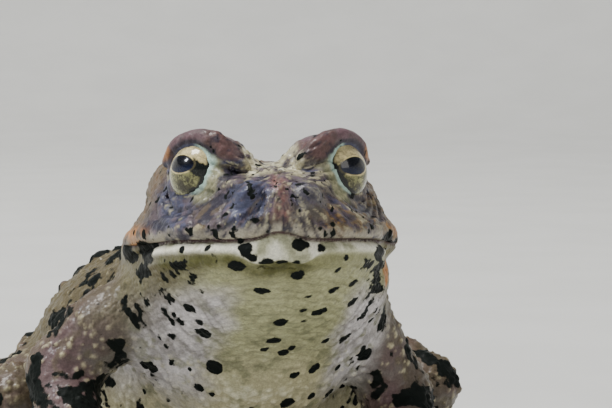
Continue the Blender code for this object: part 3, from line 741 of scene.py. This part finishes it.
def noise(points, size, seed):
    """Smooth noise from -1 to 1, whose blobs are about size across."""
    scaled = points / size
    cell = np.floor(scaled)
    share = scaled - cell
    share = share * share * (3 - 2 * share)
    found = np.zeros(len(points))
    for corner in product((0, 1), repeat=3):
        weight = np.ones(len(points))
        for axis in range(3):
            weight *= share[:, axis] if corner[axis] else 1 - share[:, axis]
        found += weight * lattice(cell + corner, seed)
    return 2 * found - 1


def rough_noise(points, size, seed, octaves=3):
    """Noise with finer noise on it."""
    layers = [noise(points, size / 2**i, seed + i) / 2**i for i in range(octaves)]
    return sum(layers) / 1.5


def granules(points, size, seed, smallest=0.25, largest=0.62):
    """Round grains, one to a cell of the given size: their height from 0 to 1."""
    scaled = points / size
    cell = np.floor(scaled)
    found = np.zeros(len(points))
    for offset in product((-1, 0, 1), repeat=3):
        near = cell + offset
        centre = np.stack([lattice(near, seed + axis) for axis in range(3)], 1) * 0.7 + 0.15
        radius = smallest + (largest - smallest) * lattice(near, seed + 3)
        away = lengths(scaled - near - centre) / radius
        found = np.maximum(found, np.clip(1 - away * away, 0, 1))
    return found


class Paint:
    """One colour for each point, laid in coats, and how strongly each point is marked."""

    def __init__(self, count, colour):
        self.colour = np.full((count, 3), colour)
        self.mark = np.zeros(count)

    def within(self, region):
        """A function that lays one colour, or one for each point, over a share of the region."""

        def lay(over, share=1.0):
            part = np.clip(region * share, 0, 1)[:, None]
            self.colour = self.colour * (1 - part) + np.asarray(over) * part

        return lay

    def tone(self, factor):
        self.colour = self.colour * factor[:, None]

    def darken(self, region, value):
        """Adds dark marks to the region: their edge is where the value is 0 and the mark 0.5."""
        self.mark = np.maximum(self.mark, region * (0.5 + value))


def fine_skin(toad):
    """The whole skin at a fine pitch, as an object, with its corners' places and outward ways."""
    soup = Soup()
    toad.add_to(soup)
    skin = object_from(soup.mesh("toad_skin"), "toad_skin")
    remesh = skin.modifiers.new("Join", "REMESH")
    remesh.mode = "VOXEL"
    remesh.voxel_size = FINE_VOXEL
    relax = skin.modifiers.new("Relax", "SMOOTH")
    relax.factor = 0.5
    relax.iterations = 2
    bpy.context.view_layer.update()
    evaluated = skin.evaluated_get(bpy.context.evaluated_depsgraph_get())
    mesh = bpy.data.meshes.new_from_object(evaluated)
    skin.modifiers.clear()
    skin.data = mesh
    settled = toad.settle(mesh)
    return skin, settled, vectors(mesh.vertex_normals, "vector")


class Places:
    """Where each point of the skin is: in the toad's frame, in the head's, and about each eye."""

    def __init__(self, toad, points, outward):
        self.body = points
        self.outward = outward
        self.clouds = [rough_noise(points, size, seed) for size, seed in CLOUDS]
        self.head = toad.in_head(points)
        self.half = folded(self.head)
        self.across = self.half[:, 0]
        x, y, z = self.head.T
        collar = np.array(COLLAR_NORMAL) / np.linalg.norm(COLLAR_NORMAL)
        self.on_head = ramp((self.head - COLLAR) @ collar, -2.5, 2.5)
        front = np.clip(-y / MOUTH_LENGTH, 0, 1)
        peak = LIP_PEAK * bell(x, LIP_PEAK_WIDTH) * front**2
        over = z - peak + MOUTH_CORNER_DROP * (1 - front**MOUTH_BLUNTNESS) ** 4
        self.over_mouth = over
        self.above = self.on_head * ramp(over, -0.05, 0.25)
        self.mouth = self.on_head * ramp(-y, -3, 0.5)
        self.lip_depth = LIP_DEPTH + LIP_SAG * np.exp(-((x / LIP_SAG_HALF_WIDTH) ** 4))
        lip = ramp(over, -self.lip_depth - 0.5, -self.lip_depth + 0.1)
        self.lower_lip = lip * self.mouth * ramp(-y, 4, 9) * ramp(-over, -0.1, 0.1)

        # Round the eye: how far off its axis, towards the snout and upwards, and off the ball
        axis = np.array(eye_axis())
        from_eye = self.half - EYE_CENTRE
        flat = from_eye - (from_eye @ axis)[:, None] * axis
        self.eye_away = lengths(flat)
        self.off_ball = lengths(from_eye) - EYE_RADIUS
        forward = np.array((axis[1], -axis[0], 0)) / math.hypot(axis[0], axis[1])
        self.eye_front = flat @ forward
        self.eye_up = flat @ np.cross(forward, axis)

        # Round the snout: patterns on a fan of lines that run down and out from the nose
        drop = FAN_TOP - z
        turn, reach = np.arctan2(x, drop), np.hypot(x, drop)
        fan = np.stack([turn * 7, reach * 0.3, y * 0.18], 1)
        self.streak = rough_noise(fan, 1.5, 141)
        self.hair = rough_noise(fan * (1, 0.8, 1), 0.42, 151)
        self.fibre = rough_noise(fan * (1, 0.7, 1), 0.24, 155)
        self.bars = rough_noise(fan * (1, 0.6, 1), 1.5, 171)

        far = combine(toad.torso, folded(points))
        near = np.full(len(points), 99.0)
        for chosen, limb in toad.limb_distances(points):
            near[chosen] = limb
        self.on_limb = ramp(far - near, -0.5, 2.5) * (1 - self.on_head)
        rump = ramp(points[:, 1], 18, 38)
        back = ramp(outward[:, 2] + 0.03 * (points[:, 2] - 16) + 0.35 * rump, -0.35, 0.35)
        back *= 1 - ramp(-outward[:, 1], 0.15, 0.6) * ramp(-points[:, 1], -4, 4)
        self.back = back * (1 - self.on_head)
        self.belly = (1 - back) * (1 - self.on_limb)
        self.flank = self.belly * ramp(np.abs(points[:, 0]), 9, 14)


def relief(at, sites):
    """How far the skin stands out. Adds to its places what the colours follow, such as warts."""
    points, over, streak = at.body, at.over_mouth, at.streak
    lift = np.zeros(len(points))
    wart = np.zeros(len(points))
    for centre, radius, height in sites:
        away = lengths(points - centre) / radius
        wart = np.maximum(wart, np.clip(1.15 - away, 0, 1))
        lift = np.maximum(lift, height * np.clip(1 - away * away, 0, 1) ** 1.2)
    coarse = granules(points, 2.6, 21)
    medium = granules(points, 1.25, 31)
    fine = granules(points, 0.7, 41)
    at.wart, at.grain = wart, 0.6 * medium + 0.4 * fine
    bare = coarse * at.back * (1 - at.on_limb)
    strong = at.on_limb + ramp(-points[:, 2], -30, -24) * at.belly
    grains = 0.3 * bare + (0.2 + 0.1 * strong) * medium + 0.08 * fine
    lift += (1 - at.on_head) * grains
    upper = at.on_head * ramp(over, 0.4, 2.5)
    snout = upper * ramp(-at.half[:, 1], 7, 14)
    lid = bell(at.eye_away - 5, 1.6) * ramp(at.eye_up, 0.8, 2.6) * upper
    lift += upper * (1 - snout) * (1 - lid) * (0.16 * medium + 0.06 * fine)

    # The snout's folds fan out from the nose, and the throat's run across and down its sides
    x, _, z = at.head.T
    snout *= 1 - lid
    crease = bell(streak, 0.1)
    lift += snout * (0.18 * streak - 0.2 * crease + 0.17 * at.hair + 0.07 * medium)
    wave = z + 0.35 * noise(points, 2.2, 61) + 0.02 * x**2
    wrinkle = 1 - np.abs(np.sin(wave * math.pi / 1.05 + 0.8 * noise(points, 1, 62)))
    throat = at.on_head * ramp(-over, 0.2, 2) * ramp(-over, 2.2, 4)
    net = bell(rough_noise(points, 1.1, 67), 0.11)
    lift += throat * (0.08 * fine - 0.13 * wrinkle**3 - 0.1 * net)
    crease = np.maximum(snout * crease, throat * np.maximum(0.8 * wrinkle**3, 0.5 * net))
    drape = rough_noise(points * (1, 1, 0.25), 1.3, 65)
    lift += at.flank * (0.2 * drape - 0.2 * bell(drape, 0.1))

    # The mouth line, with a full lower lip under it
    lift -= 0.42 * at.mouth * bell(over, 0.2)
    lift += at.lower_lip * (0.26 + 0.09 * rough_noise(points, 1.6, 68) + 0.04 * medium)
    lift -= 0.18 * at.mouth * bell(over + at.lip_depth + 0.7, 0.4)

    # The eyelids: knobs on the upper one, and creases under the lower one
    knobs = granules(at.head, 1.5, 71, 0.3, 0.6) * ramp(at.eye_front, 1.6, 3.4)
    lift += lid * (0.06 * rough_noise(at.head, 1.1, 75) + 0.3 * knobs)
    below = upper * ramp(-at.eye_up, 0.3, 1.6)
    for radius, depth in LID_CREASES:
        line = below * bell(at.eye_away - radius + 0.3 * streak, 0.26)
        lift -= depth * line
        crease = np.maximum(crease, 0.8 * line)
    at.crease = crease

    # The nostrils' slits
    turn = np.array(Matrix.Rotation(math.radians(SLIT_TURN), 3, "Y"))
    at.hole = lengths((at.half - NOSTRIL) @ turn / SLIT_RADII)
    return lift - 0.12 * np.clip(1.5 - at.hole, 0, 1)


def paint_underside(at, paint):
    """Olive throat, lilac neck, and a cream chest with mossy patches, pale grains and dots."""
    middle, small, tiny = at.clouds
    points, over, grain = at.body, at.over_mouth, at.grain
    low = points[:, 2]
    width = np.abs(points[:, 0]) + 1.6 * middle
    jaw = np.maximum(ramp(-width, -13, -6), 1 - ramp(-over, 5, 8))
    neck = ramp(width, 6, 10.5) * ramp(-width, -21, -17)
    neck *= ramp(low + 2 * middle, 12, 20) * ramp(-over + middle, 4.5, 8)
    folds = rough_noise(np.abs(points) @ SLANT, 1.5, 205)
    lay = paint.within(1)
    lay(WHITE, ramp(middle + grain, 0.2, 1.1) * 0.5)
    lay(THROAT, jaw * ramp(low + 2 * middle, 14, 27) * 0.9)
    lay(LILAC, neck * 0.9)
    lay(GREY, neck * bell(folds, 0.16) * 0.6)
    lay(OLIVE, ramp(width + 0.3 * low, 22, 27) * 0.85)
    lay = paint.within(at.belly)
    lay(MOSS, ramp(-small - 0.6 * middle, 0.05, 0.6) * ramp(-low, -36, -24) * 0.7)
    lay(CREAM, ramp(grain + 0.3 * tiny, 0.35, 0.8) * ramp(-low, -26, -20) * 0.6)
    dots = granules(points, 4.4, 161, 0.08, 0.4) ** 0.5
    paint.darken(at.belly * ramp(-low, -30, -26), 0.9 * (dots - 0.42 + 0.35 * small))
    drape = rough_noise(points * (1, 1, 0.4), 1.7, 181)
    paint.darken(at.flank, 1.1 * (drape - 0.34 + 0.15 * tiny))


def paint_limbs(at, paint):
    """Grey and brown, mauve outside, with olive patches, pale grains and dark blotches."""
    middle, small, _ = at.clouds
    outside = ramp(at.outward[:, 2] + 0.35 * middle, -0.6, 0.35)
    broad = rough_noise(at.body, 9, 101)
    lay = paint.within(at.on_limb)
    lay(GREY, 0.8 + 0.2 * outside)
    lay(BROWN, ramp(outside + middle, 0.1, 0.9) * 0.85)
    lay(MAUVE, outside * ramp(broad, -0.25, 0.3) * 0.6)
    lay(OLIVE, ramp(small - middle, 0.1, 0.5) * 0.5)
    lay(CREAM, ramp(at.grain + 0.3 * small, 0.34, 0.75) * 0.7)
    paint.darken(at.on_limb, 1.1 * (middle + 0.35 * small - 0.24))


def paint_back(at, paint):
    """Olive brown with rusty warts in dark blotches. Returns the pale line down its middle."""
    middle, small, _ = at.clouds
    back = at.back * (1 - 0.6 * at.on_limb)
    lay = paint.within(back)
    lay(OLIVE, 1.3 + 0.35 * middle)
    lay(EARTH, ramp(middle, 0, 0.7))
    lay(CREAM, ramp(at.grain, 0.45, 0.8) * 0.3)
    lay(RUST, ramp(at.wart + 0.15 * small, 0.3, 0.7) * 0.8)
    paint.darken(back, 0.9 * (middle + 0.35 * small - 0.16 + 0.5 * ramp(at.wart, 0, 0.3)))
    stripe = ramp(-np.abs(at.body[:, 0] + 0.5 * middle + 0.25 * small), -1.15, -0.6)
    stripe *= ramp(at.outward[:, 2], 0.1, 0.4) * ramp(at.body[:, 1], -14, -8)
    paint.within(stripe)(CREAM, 0.85)
    return stripe


def paint_head(at, paint):
    """Brown, and violet that is partly a painted sheen of the sky, in streaks that follow the folds,
    cream between the eyes.
    """
    middle, small, tiny = at.clouds
    streak, hair, fibre = at.streak, at.hair, at.fibre
    x, y, z = at.head.T
    front = ramp(-y, 4, 12)
    # Painted light: on the toad's left side the snout is painted paler, with more grey and cream and
    # fewer dark gaps, to make up for the shade the lamps leave there
    left = ramp(x, 0.5, 4)
    lay = paint.within(at.above)
    lay(BROWN)
    lay(EARTH, ramp(y, -8, 0) * 0.8)
    lay(OLIVE, ramp(y + 3 * middle, -6, 0) * ramp(small, -0.2, 0.4) * 0.8)
    # Violet streaks on the snout's front: partly the skin's tone, partly a painted sheen of the sky on
    # the wet skin
    lay(VIOLET_SHEEN, front * ramp(streak + 0.5 * small, -0.4, 0))
    cheek = ramp(at.across, 4, 8) * ramp(-z, -8, -4) * ramp(-y, 2, 8)
    ochre = hair + 0.7 * fibre + 0.3 * middle + 0.3 * np.tanh(x / 5)
    lay(OCHRE, cheek * ramp(ochre, 0.12, 0.26) * 0.9)
    patch = ramp(streak - 0.3 * middle + 0.35 * fibre, 0.2, 0.3) * ramp(at.across, 3, 4)
    lay(SLATE, patch * ramp(-y, 2, 9) * ramp(fibre, -0.5, 0) * 0.9)
    lay(GREY, front * ramp(hair - 0.5 * streak + 0.25 * left, 0.15, 0.35) * 0.7)
    gaps = ramp(-hair + 0.6 * fibre - 0.1 * left, 0.1, 0.24)
    lay(INK, front * gaps * (0.9 - 0.2 * left))
    lay(CREAM, front * ramp(hair + 0.8 * fibre + 0.12 * left, 0.42, 0.54) * 0.65)
    crown = ramp(-at.across + 0.5 * small, -4.4, -2.9) * ramp(z, 6.4, 7.6)
    crown *= ramp(y, -20, -17.5) * ramp(-y, 0, 10)
    lay(CREAM, crown * ramp(small + 0.6 * tiny, -0.4, 0.1))
    lay(WHITE, crown * ramp(at.grain + 0.4 * small, 0.1, 0.6) * 0.5)


def paint_snout(at, paint):
    """Slate round the nostrils, whose slits are painted dark as shade, a pink line on the nose, and a
    barred grey upper lip.
    """
    middle, small, tiny = at.clouds
    over, fibre = at.over_mouth, at.fibre
    x, y, z = at.head.T
    lay = paint.within(at.above)
    right = ramp(-x, -1, 1)
    away = lengths((at.half - NOSTRIL) * (0.8, 1, 1))
    blue = ramp(-away + 1.3 * small + 0.8 * tiny + 0.9 * right, -2.6, -1.7)
    lay(SLATE, blue * (0.45 + 0.5 * right) * ramp(fibre, -0.5, 0))
    lay(INK, ramp(-at.hole + 0.4 * small, -1.9, -1.3) * 0.6)
    # Painted shade: each nostril's slit is marked dark, for the shade inside its opening
    paint.darken(at.above, 1.8 * (0.85 - at.hole))
    nose = bell(x - 0.15 + 0.4 * small, 1) * ramp(-y, 18.5, 21) * ramp(z, 1.8, 3.4)
    lay(PINK, nose * ramp(tiny + small, -0.9, 0.5) * 0.8)
    corner = ramp(y, -12, -5) * ramp(-y, -6, -2)
    corner *= ramp(-over, -3.4, -1.6) * ramp(at.across, 14, 15.6)
    lay(TAN, corner * ramp(small + 0.3 * middle, -0.45, 0.1))
    rim = ramp(-over + 0.8 * small, -1.9, -0.9) * at.mouth
    lay(LIP_GREY, rim * ramp(at.hair + 0.2, -0.3, 0.2) * (1 - 0.6 * corner))
    pale = bell(x + 1.5, 4.5) * ramp(-over + small, -2.6, -1.3)
    lay(WHITE, pale * ramp(small + 0.3 * fibre, -0.3, 0.4) * 0.25)
    bars = at.bars + 0.3 * small
    lay(INK, rim * ramp(bars, 0.08, 0.42) * 0.65)
    paint.darken(at.above * rim, 0.9 * (bars - 0.38))


def paint_eyelids(at, paint):
    """Mauve above with rusty knobs inside, slate under, and a pale fold and ring in front."""
    _, small, tiny = at.clouds
    above, off_ball = at.above, at.off_ball
    away, front, up = at.eye_away, at.eye_front, at.eye_up
    lid = ramp(up, 1.2, 2.2) * ramp(-away, -8, -6.4) * above
    lid *= ramp(at.across + 0.3 * small, 3.2, 4.6)
    lay = paint.within(lid)
    lay(MAUVE)
    lay(GREY, ramp(small, -0.2, 0.4) * 0.5)
    lay(INK, ramp(small + 0.7 * tiny, 0.45, 0.6) * 0.6)
    lay(RUST, ramp(front + small + 0.6 * tiny, 2.4, 3.8) * 0.7)
    lay(INK, ramp(front, 2.6, 4.6) * ramp(tiny + 0.5 * small, 0.15, 0.3) * 0.8)
    lay(TAN, ramp(-front + small, 3, 4) * 0.7)
    lay = paint.within(above)
    # The lid's dark lower edge next to the eyeball, painted darker as the shade under the brow's
    # overhang
    lay(INK, ramp(-off_ball, -1.15, -0.75) * ramp(up, 0.5, 1.5) * 0.85)
    under = bell(away - 5.6, 1.4) * ramp(-up, 0.8, 2.2)
    lay(SLATE, under * ramp(small + 0.5 * at.hair, -0.35, 0.2) * 0.75)
    fold = ramp(front, 1.8, 2.8) * ramp(-np.abs(up + 1.2), -3.6, -2.4)
    fold *= ramp(-away - 0.45 * up + 0.6 * small, -6, -5) * above
    lay = paint.within(fold)
    lay(MOSS, 0.9)
    lay(CREAM, ramp(tiny + 0.5 * small, -0.4, 0.4) * 0.5)
    lay(MINT, ramp(-off_ball + 0.3 * small, -0.9, -0.4) * 0.9)
    lay = paint.within(ramp(-off_ball, -0.42, -0.28) * above)
    lay(SLATE, ramp(front + up, -2, 1) * 0.8)
    lay(MINT, ramp(front + 0.3 * small, 0.6, 2.2))
    paint.darken(above * (1 - fold), 0.9 * (small + 0.7 * tiny - 0.5 - 0.2 * lid))


def paint_mouth(at, paint):
    """A pale mottled lower lip under the mouth line, an olive painted shade under it, and the throat's
    spots.
    """
    middle, small, tiny = at.clouds
    lip, over = at.lower_lip, at.over_mouth
    mottle = rough_noise(at.body * (1, 1, 0.7), 1.7, 173)
    lay = paint.within(lip)
    lay(WHITE)
    lay(THROAT, ramp(mottle, -0.1, 0.4) * 0.6)
    lay(MOSS, ramp(mottle + 0.3 * tiny, 0.25, 0.6) * 0.6)
    # Painted shade: an olive band under the lower lip's overhang, weaker on the toad's left
    shade = bell(over + at.lip_depth + 1.2, 1.1) * (1 - lip)
    shade *= ramp(-at.head[:, 1], 8, 14) * (1 - 0.5 * ramp(at.head[:, 0], 1, 7))
    lay = paint.within(at.mouth)
    lay(PAINTED_SHADE, shade * (0.95 + 0.4 * small + 0.3 * middle))
    lay(LINE, 1.2 * bell(over, 0.15))
    slant = rough_noise(at.half @ SLANT, 1.25, 191) + 0.2 * tiny
    corner = ramp(at.across, 8, 13) * ramp(-over, 0.6, 2.5)
    corner *= at.on_head * (1 - ramp(over, -0.25, 0.05)) * (1 - lip)
    paint.darken(corner, 1.1 * (slant - 0.3))
    for *centre, radius in SPOTS:
        away = lengths((at.head - centre) * (0.85, 1, 1.1))
        paint.darken(1, 0.6 * (radius - away + 0.4 * small * radius))
    for centre, radii in CORNER_MARKS:
        away = lengths((at.head - centre) / radii)
        paint.darken(1, 1.2 * (1 - away + 0.35 * small + 0.2 * tiny))
    spot = ramp(-lengths(at.head - TAN_SPOT) - 0.5 * small, -2.2, -1.6)
    paint.within(spot)(TAN)
    paint.mark *= 1 - spot


def paint_skin(at):
    """The whole skin's colour and marks, in the order in which the coats cover each other."""
    paint = Paint(len(at.body), CREAM)
    paint_underside(at, paint)
    paint_limbs(at, paint)
    stripe = paint_back(at, paint)
    paint_head(at, paint)
    paint_snout(at, paint)
    paint_eyelids(at, paint)
    paint_mouth(at, paint)
    paint.tone(0.85 + 0.3 * at.grain * (1 - at.lower_lip))
    # Painted shade: the colour is darkened along the creases of the snout, the throat and the lower
    # eyelid
    paint.tone(1 - 0.45 * at.crease)
    paint.mark *= 1 - 0.7 * stripe
    return paint


def store(mesh, name, values):
    """Keeps one number or colour a corner for the material."""
    if values.ndim == 1:
        mesh.attributes.new(name, "FLOAT", "POINT").data.foreach_set("value", values)
        return
    padded = np.ones((len(values), 4))
    padded[:, :3] = values
    mesh.attributes.new(name, "FLOAT_COLOR", "POINT").data.foreach_set("color", padded.ravel())


class Shader:
    """Short ways to add nodes to a material."""

    def __init__(self, name):
        self.material = bpy.data.materials.new(name)
        self.material.use_nodes = True
        self.tree = self.material.node_tree
        self.place = self.add("TexCoord").outputs["Object"]

    def add(self, kind, **settings):
        node = self.tree.nodes.new("ShaderNode" + kind)
        for name, value in settings.items():
            setattr(node, name, value)
        return node

    def fill(self, node, values):
        """Gives a node's inputs, by name or number, a number, a colour or another's output."""
        for name, value in values.items():
            if isinstance(value, bpy.types.NodeSocket):
                self.tree.links.new(value, node.inputs[name])
            else:
                colour = isinstance(value, tuple)
                node.inputs[name].default_value = (*value, 1) if colour else value

    def attribute(self, name, output="Fac"):
        return self.add("Attribute", attribute_name=name).outputs[output]

    def maths(self, operation, first, second):
        node = self.add("Math", operation=operation)
        self.fill(node, {0: first, 1: second})
        return node.outputs[0]

    def ramp(self, value, low, high, start=0.0, end=1.0):
        node = self.add("MapRange", interpolation_type="SMOOTHSTEP")
        limits = {"From Min": low, "From Max": high, "To Min": start, "To Max": end}
        self.fill(node, {"Value": value, **limits})
        return node.outputs["Result"]

    def mix(self, share, under, over):
        node = self.add("Mix", data_type="RGBA")
        self.fill(node, {"Factor": share, 6: under, 7: over})
        return node.outputs[2]

    def texture(self, kind, size, **inputs):
        """A noise or cell pattern whose features are about size millimetres across."""
        node = self.add("Tex" + kind)
        self.fill(node, {"Vector": self.place, "Scale": 1 / (size * UNIT), **inputs})
        return node.outputs[0]

    def ground(self, factor):
        """The mesh's painted colour, made lighter or darker."""
        node = self.add("VectorMath", operation="SCALE")
        self.fill(node, {0: self.attribute("ground", "Color"), "Scale": factor})
        return node.outputs[0]

    def finished(self, looks):
        self.fill(self.tree.nodes["Principled BSDF"], looks)
        return self.material


def skin_material():
    """Moist granular skin: ground colour, dark marks with crisp edges, grain and gloss."""
    made = Shader("toad_skin")
    cloud = made.texture("Noise", 1.0, Detail=6.0, Roughness=0.65)
    grain = made.texture("Noise", 0.28, Detail=3.0, Roughness=0.6)
    cells = made.maths("MULTIPLY", made.texture("Voronoi", 0.42), -0.7)
    ragged = made.maths("MULTIPLY", made.maths("SUBTRACT", cloud, 0.5), 0.5)
    dark = made.ramp(made.maths("ADD", made.attribute("mark"), ragged), 0.44, 0.56)
    ground = made.ground(made.ramp(grain, 0.30, 0.72, 0.82, 1.16))
    height = made.maths("ADD", cells, made.maths("MULTIPLY", grain, 0.8))
    bump = made.add("Bump")
    made.fill(bump, {"Strength": 0.55, "Distance": 0.00010, "Height": height})
    return made.finished(
        {
            "Base Color": made.mix(dark, ground, BLACK),
            "Roughness": made.ramp(cloud, 0.3, 0.7, 0.36, 0.58),
            "Specular IOR Level": made.ramp(dark, 0.0, 1.0, 0.20, 0.04),
            "Coat Weight": made.ramp(dark, 0.0, 1.0, 0.14, 0.0),
            "Coat Roughness": 0.08,
            "Normal": bump.outputs[0],
        }
    )


def eye_material():
    """The painted iris under a wet coat."""
    made = Shader("toad_eye")
    fine = made.texture("Noise", 0.16, Detail=3.0)
    return made.finished(
        {
            "Base Color": made.ground(made.ramp(fine, 0.3, 0.7, 0.85, 1.15)),
            "Roughness": made.ramp(fine, 0.3, 0.7, 0.22, 0.3),
            "Specular IOR Level": 0.1,
            "Coat Weight": 1.0,
            "Coat IOR": 1.36,
            "Coat Roughness": 0.02,
        }
    )


# The eyes: where each pupil's middle is, towards the snout and up, and the colours
PUPILS = {1: (0.9, 0.4), -1: (-0.1, 0.75)}
PUPIL_RADII = (2.1, 1.2)
PUPIL = (0.002, 0.002, 0.004)
PUPIL_SHEEN = (0.005, 0.009, 0.030)
GOLD = (0.60, 0.50, 0.24)
IRIS_TOP = (0.50, 0.42, 0.22)
IRIS_LOW = (0.270, 0.265, 0.110)
IRIS_DARK = (0.020, 0.015, 0.010)
EYE_SEGMENTS = ((220, 160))


def iris_colour(local, front, up, side):
    """A level pupil in a gold ring, on an iris with dark veins and a dark brink."""
    cloud = rough_noise(local + side * 7.0, 1.1, 201)
    fine = rough_noise(local + side * 5.0, 0.42, 211)
    middle = PUPILS[side]
    away = np.hypot((front - middle[0]) / PUPIL_RADII[0], (up - middle[1]) / PUPIL_RADII[1])
    iris = Paint(len(local), IRIS_LOW)
    lay = iris.within(1.0)
    lay(IRIS_TOP, ramp(up + 0.3 * cloud, 0.0, 1.6))
    iris.tone(1 + 0.45 * fine)
    veins = np.clip(1 - np.abs(cloud + 0.25 * fine) / 0.13, 0, 1) * ramp(fine, -0.6, 0.0)
    lay(IRIS_DARK, veins * (0.95 - 0.25 * ramp(up, 0.5, 1.5)))
    lay(IRIS_DARK, ramp(-up + 0.5 * cloud, 0.6, 1.6) * ramp(cloud + 0.5 * fine, 0.05, 0.3) * 0.85)
    lay(IRIS_DARK, bell(fine, 0.13) * ramp(-up + 0.4 * cloud, -0.2, 0.8) * 0.7)
    reach = np.hypot(front, up)
    ahead = front - middle[0] - PUPIL_RADII[0]
    smudge = ramp(ahead + 0.3 * cloud, -0.8, -0.2)
    smudge *= ramp(-np.abs(up - middle[1] + 0.15 + 0.4 * ahead + 0.3 * fine), -1.05, -0.75)
    brink = ramp(reach + 0.3 * cloud, 2.75, 3.05) * ramp(front - 0.3 * up, 0.8, 1.6)
    lay(BLACK, np.maximum(smudge, brink * ramp(-up, -1.0, -0.2)))
    lay(GOLD, ramp(-away + 0.07 * fine + 0.04 * cloud, -1.17, -1.09) * (1 - 0.9 * smudge))
    lay(BLACK, ramp(reach + 0.12 * cloud - 0.3 * ramp(np.abs(up), 0.4, 1.6), 3.1, 3.4))
    pupil = Paint(len(local), PUPIL)
    # The bluish lower part of the pupil is a painted reflection of the sky
    pupil.within(1.0)(PUPIL_SHEEN, ramp(middle[1] - up + 0.2 * front, 0.0, 0.9))
    lay(pupil.colour, ramp(-away, -1.03, -0.98))
    return iris.colour


def eye(side, name):
    """An eyeball with its iris, on the solid's own place and size."""
    ball = bmesh.new()
    round_it, along = EYE_SEGMENTS
    radius = EYE_RADIUS * UNIT
    bmesh.ops.create_uvsphere(ball, u_segments=round_it, v_segments=along, radius=radius)
    mesh = bpy.data.meshes.new(name)
    ball.to_mesh(mesh)
    ball.free()
    found = object_from(mesh, name)
    frame = head_matrix()
    centre = frame @ Vector(mirrored(EYE_CENTRE, side))
    frame = frame.to_3x3()
    turn = (frame @ Vector(mirrored(eye_axis(), side))).to_track_quat("Z", "Y")
    found.location = (centre + Vector((0, SHIFT, 0))) * UNIT
    found.rotation_euler = turn.to_euler()
    forward = np.array(turn.to_matrix()).T @ np.array(frame @ Vector((0, -1, 0)))
    local = vectors(mesh.vertices, "co") / UNIT
    front = local[:, 0] * np.sign(forward[0])
    store(mesh, "ground", iris_colour(local, front, local[:, 1], side))
    mesh.shade_smooth()
    mesh.materials.append(eye_material())
    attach(found, "root")
    return found


def camera():
    """A long lens from the photograph's viewpoint."""
    turn, rise = math.radians(CAMERA_AZIMUTH), math.radians(CAMERA_ELEVATION)
    flat = math.cos(rise)
    back = Vector((math.sin(turn) * flat, -math.cos(turn) * flat, math.sin(rise)))
    right = Vector((math.cos(turn), math.sin(turn), 0))
    up = back.cross(right)
    aim = Vector(HEAD_BASE) + Vector((0, SHIFT, 0)) + right * CAMERA_AIM[0] + up * CAMERA_AIM[1]
    lens = bpy.data.cameras.new("camera")
    lens.lens = CAMERA_LENS
    lens.sensor_width = 36
    lens.clip_start = 0.01
    lens.clip_end = 10
    found = object_from(lens, "camera")
    found.rotation_mode = "QUATERNION"
    found.rotation_quaternion = Matrix((right, up, back)).transposed().to_quaternion()
    found.location = (aim + back * CAMERA_DISTANCE) * UNIT
    bpy.context.scene.camera = found


def lamp(name, place, aim, size, watts, colour):
    """A soft square lamp. Its place and aim are in millimetres, its size in metres."""
    light = bpy.data.lights.new(name, "AREA")
    light.size = size
    light.energy = watts
    light.color = colour
    found = object_from(light, name)
    found.location = Vector(place) * UNIT
    found.rotation_mode = "QUATERNION"
    found.rotation_quaternion = (Vector(aim) - Vector(place)).to_track_quat("-Z", "Y")


def studio():
    """A pale floor that curves up all round into a pale wall, under soft lamps."""
    profile = [(0.0, 0.0), (FLOOR_RADIUS, 0.0)]
    for step in range(WALL_STEPS):
        angle = math.radians(90) * (step + 1) / WALL_STEPS
        out, up = math.sin(angle), 1 - math.cos(angle)
        profile.append((FLOOR_RADIUS + WALL_CURVE * out, WALL_CURVE * up))
    profile.append((FLOOR_RADIUS + WALL_CURVE, WALL_TOP))
    bowl = bmesh.new()
    corners = [bowl.verts.new((x, 0, z)) for x, z in profile]
    line = corners + [bowl.edges.new(pair) for pair in zip(corners, corners[1:])]
    whole_turn = {"axis": (0, 0, 1), "cent": (0, 0, 0), "angle": math.tau, "steps": 64}
    bmesh.ops.spin(bowl, geom=line, use_merge=True, **whole_turn)
    bmesh.ops.remove_doubles(bowl, verts=bowl.verts, dist=1e-6)
    bmesh.ops.recalc_face_normals(bowl, faces=bowl.faces)
    mesh = bpy.data.meshes.new("floor")
    bowl.to_mesh(mesh)
    bowl.free()
    mesh.shade_smooth()
    floor = object_from(mesh, "floor")
    made = Shader("floor")
    cloud = made.ramp(made.texture("Noise", 30.0, Detail=3.0), 0.3, 0.7)
    pale = made.mix(cloud, (0.58, 0.58, 0.56), (0.61, 0.61, 0.59))
    mesh.materials.append(made.finished({"Base Color": pale, "Roughness": 0.8}))
    world = bpy.data.worlds.new("studio")
    world.use_nodes = True
    sky = world.node_tree.nodes["Background"]
    sky.inputs["Color"].default_value = (0.78, 0.87, 1.0, 1)
    sky.inputs["Strength"].default_value = 0.22
    bpy.context.scene.world = world
    lamp("sky", (-420, 220, 1400), (0, -15, 30), 0.5, 30.0, (1.0, 0.98, 0.94))
    lamp("front", (520, -980, 700), (0, -20, 30), 0.6, 4.4, (1.0, 0.96, 0.90))
    lamp("window", (-880, 70, 810), (-5, -20, 42), 0.16, 5.5, (0.92, 0.96, 1.0))


toad = Toad()
skin, settled, outward = fine_skin(toad)
at = Places(toad, settled, outward)
lift = relief(at, wart_sites(toad))
raised = settled + lift[:, None] * outward
raised[:, 2] = np.maximum(raised[:, 2], 0.0)
raised[:, 1] += SHIFT
move_corners(skin.data, raised)
skin.data.shade_smooth()
paint = paint_skin(at)
store(skin.data, "ground", paint.colour)
store(skin.data, "mark", paint.mark)
skin.data.materials.append(skin_material())
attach(skin, "root")
flesh = [name for name in frame["nodes"] if not name.startswith("eye_")]
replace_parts(skin, *flesh)
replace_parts(eye(1, "left_eye"), "eye_l")
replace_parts(eye(-1, "right_eye"), "eye_r")
camera()
studio()
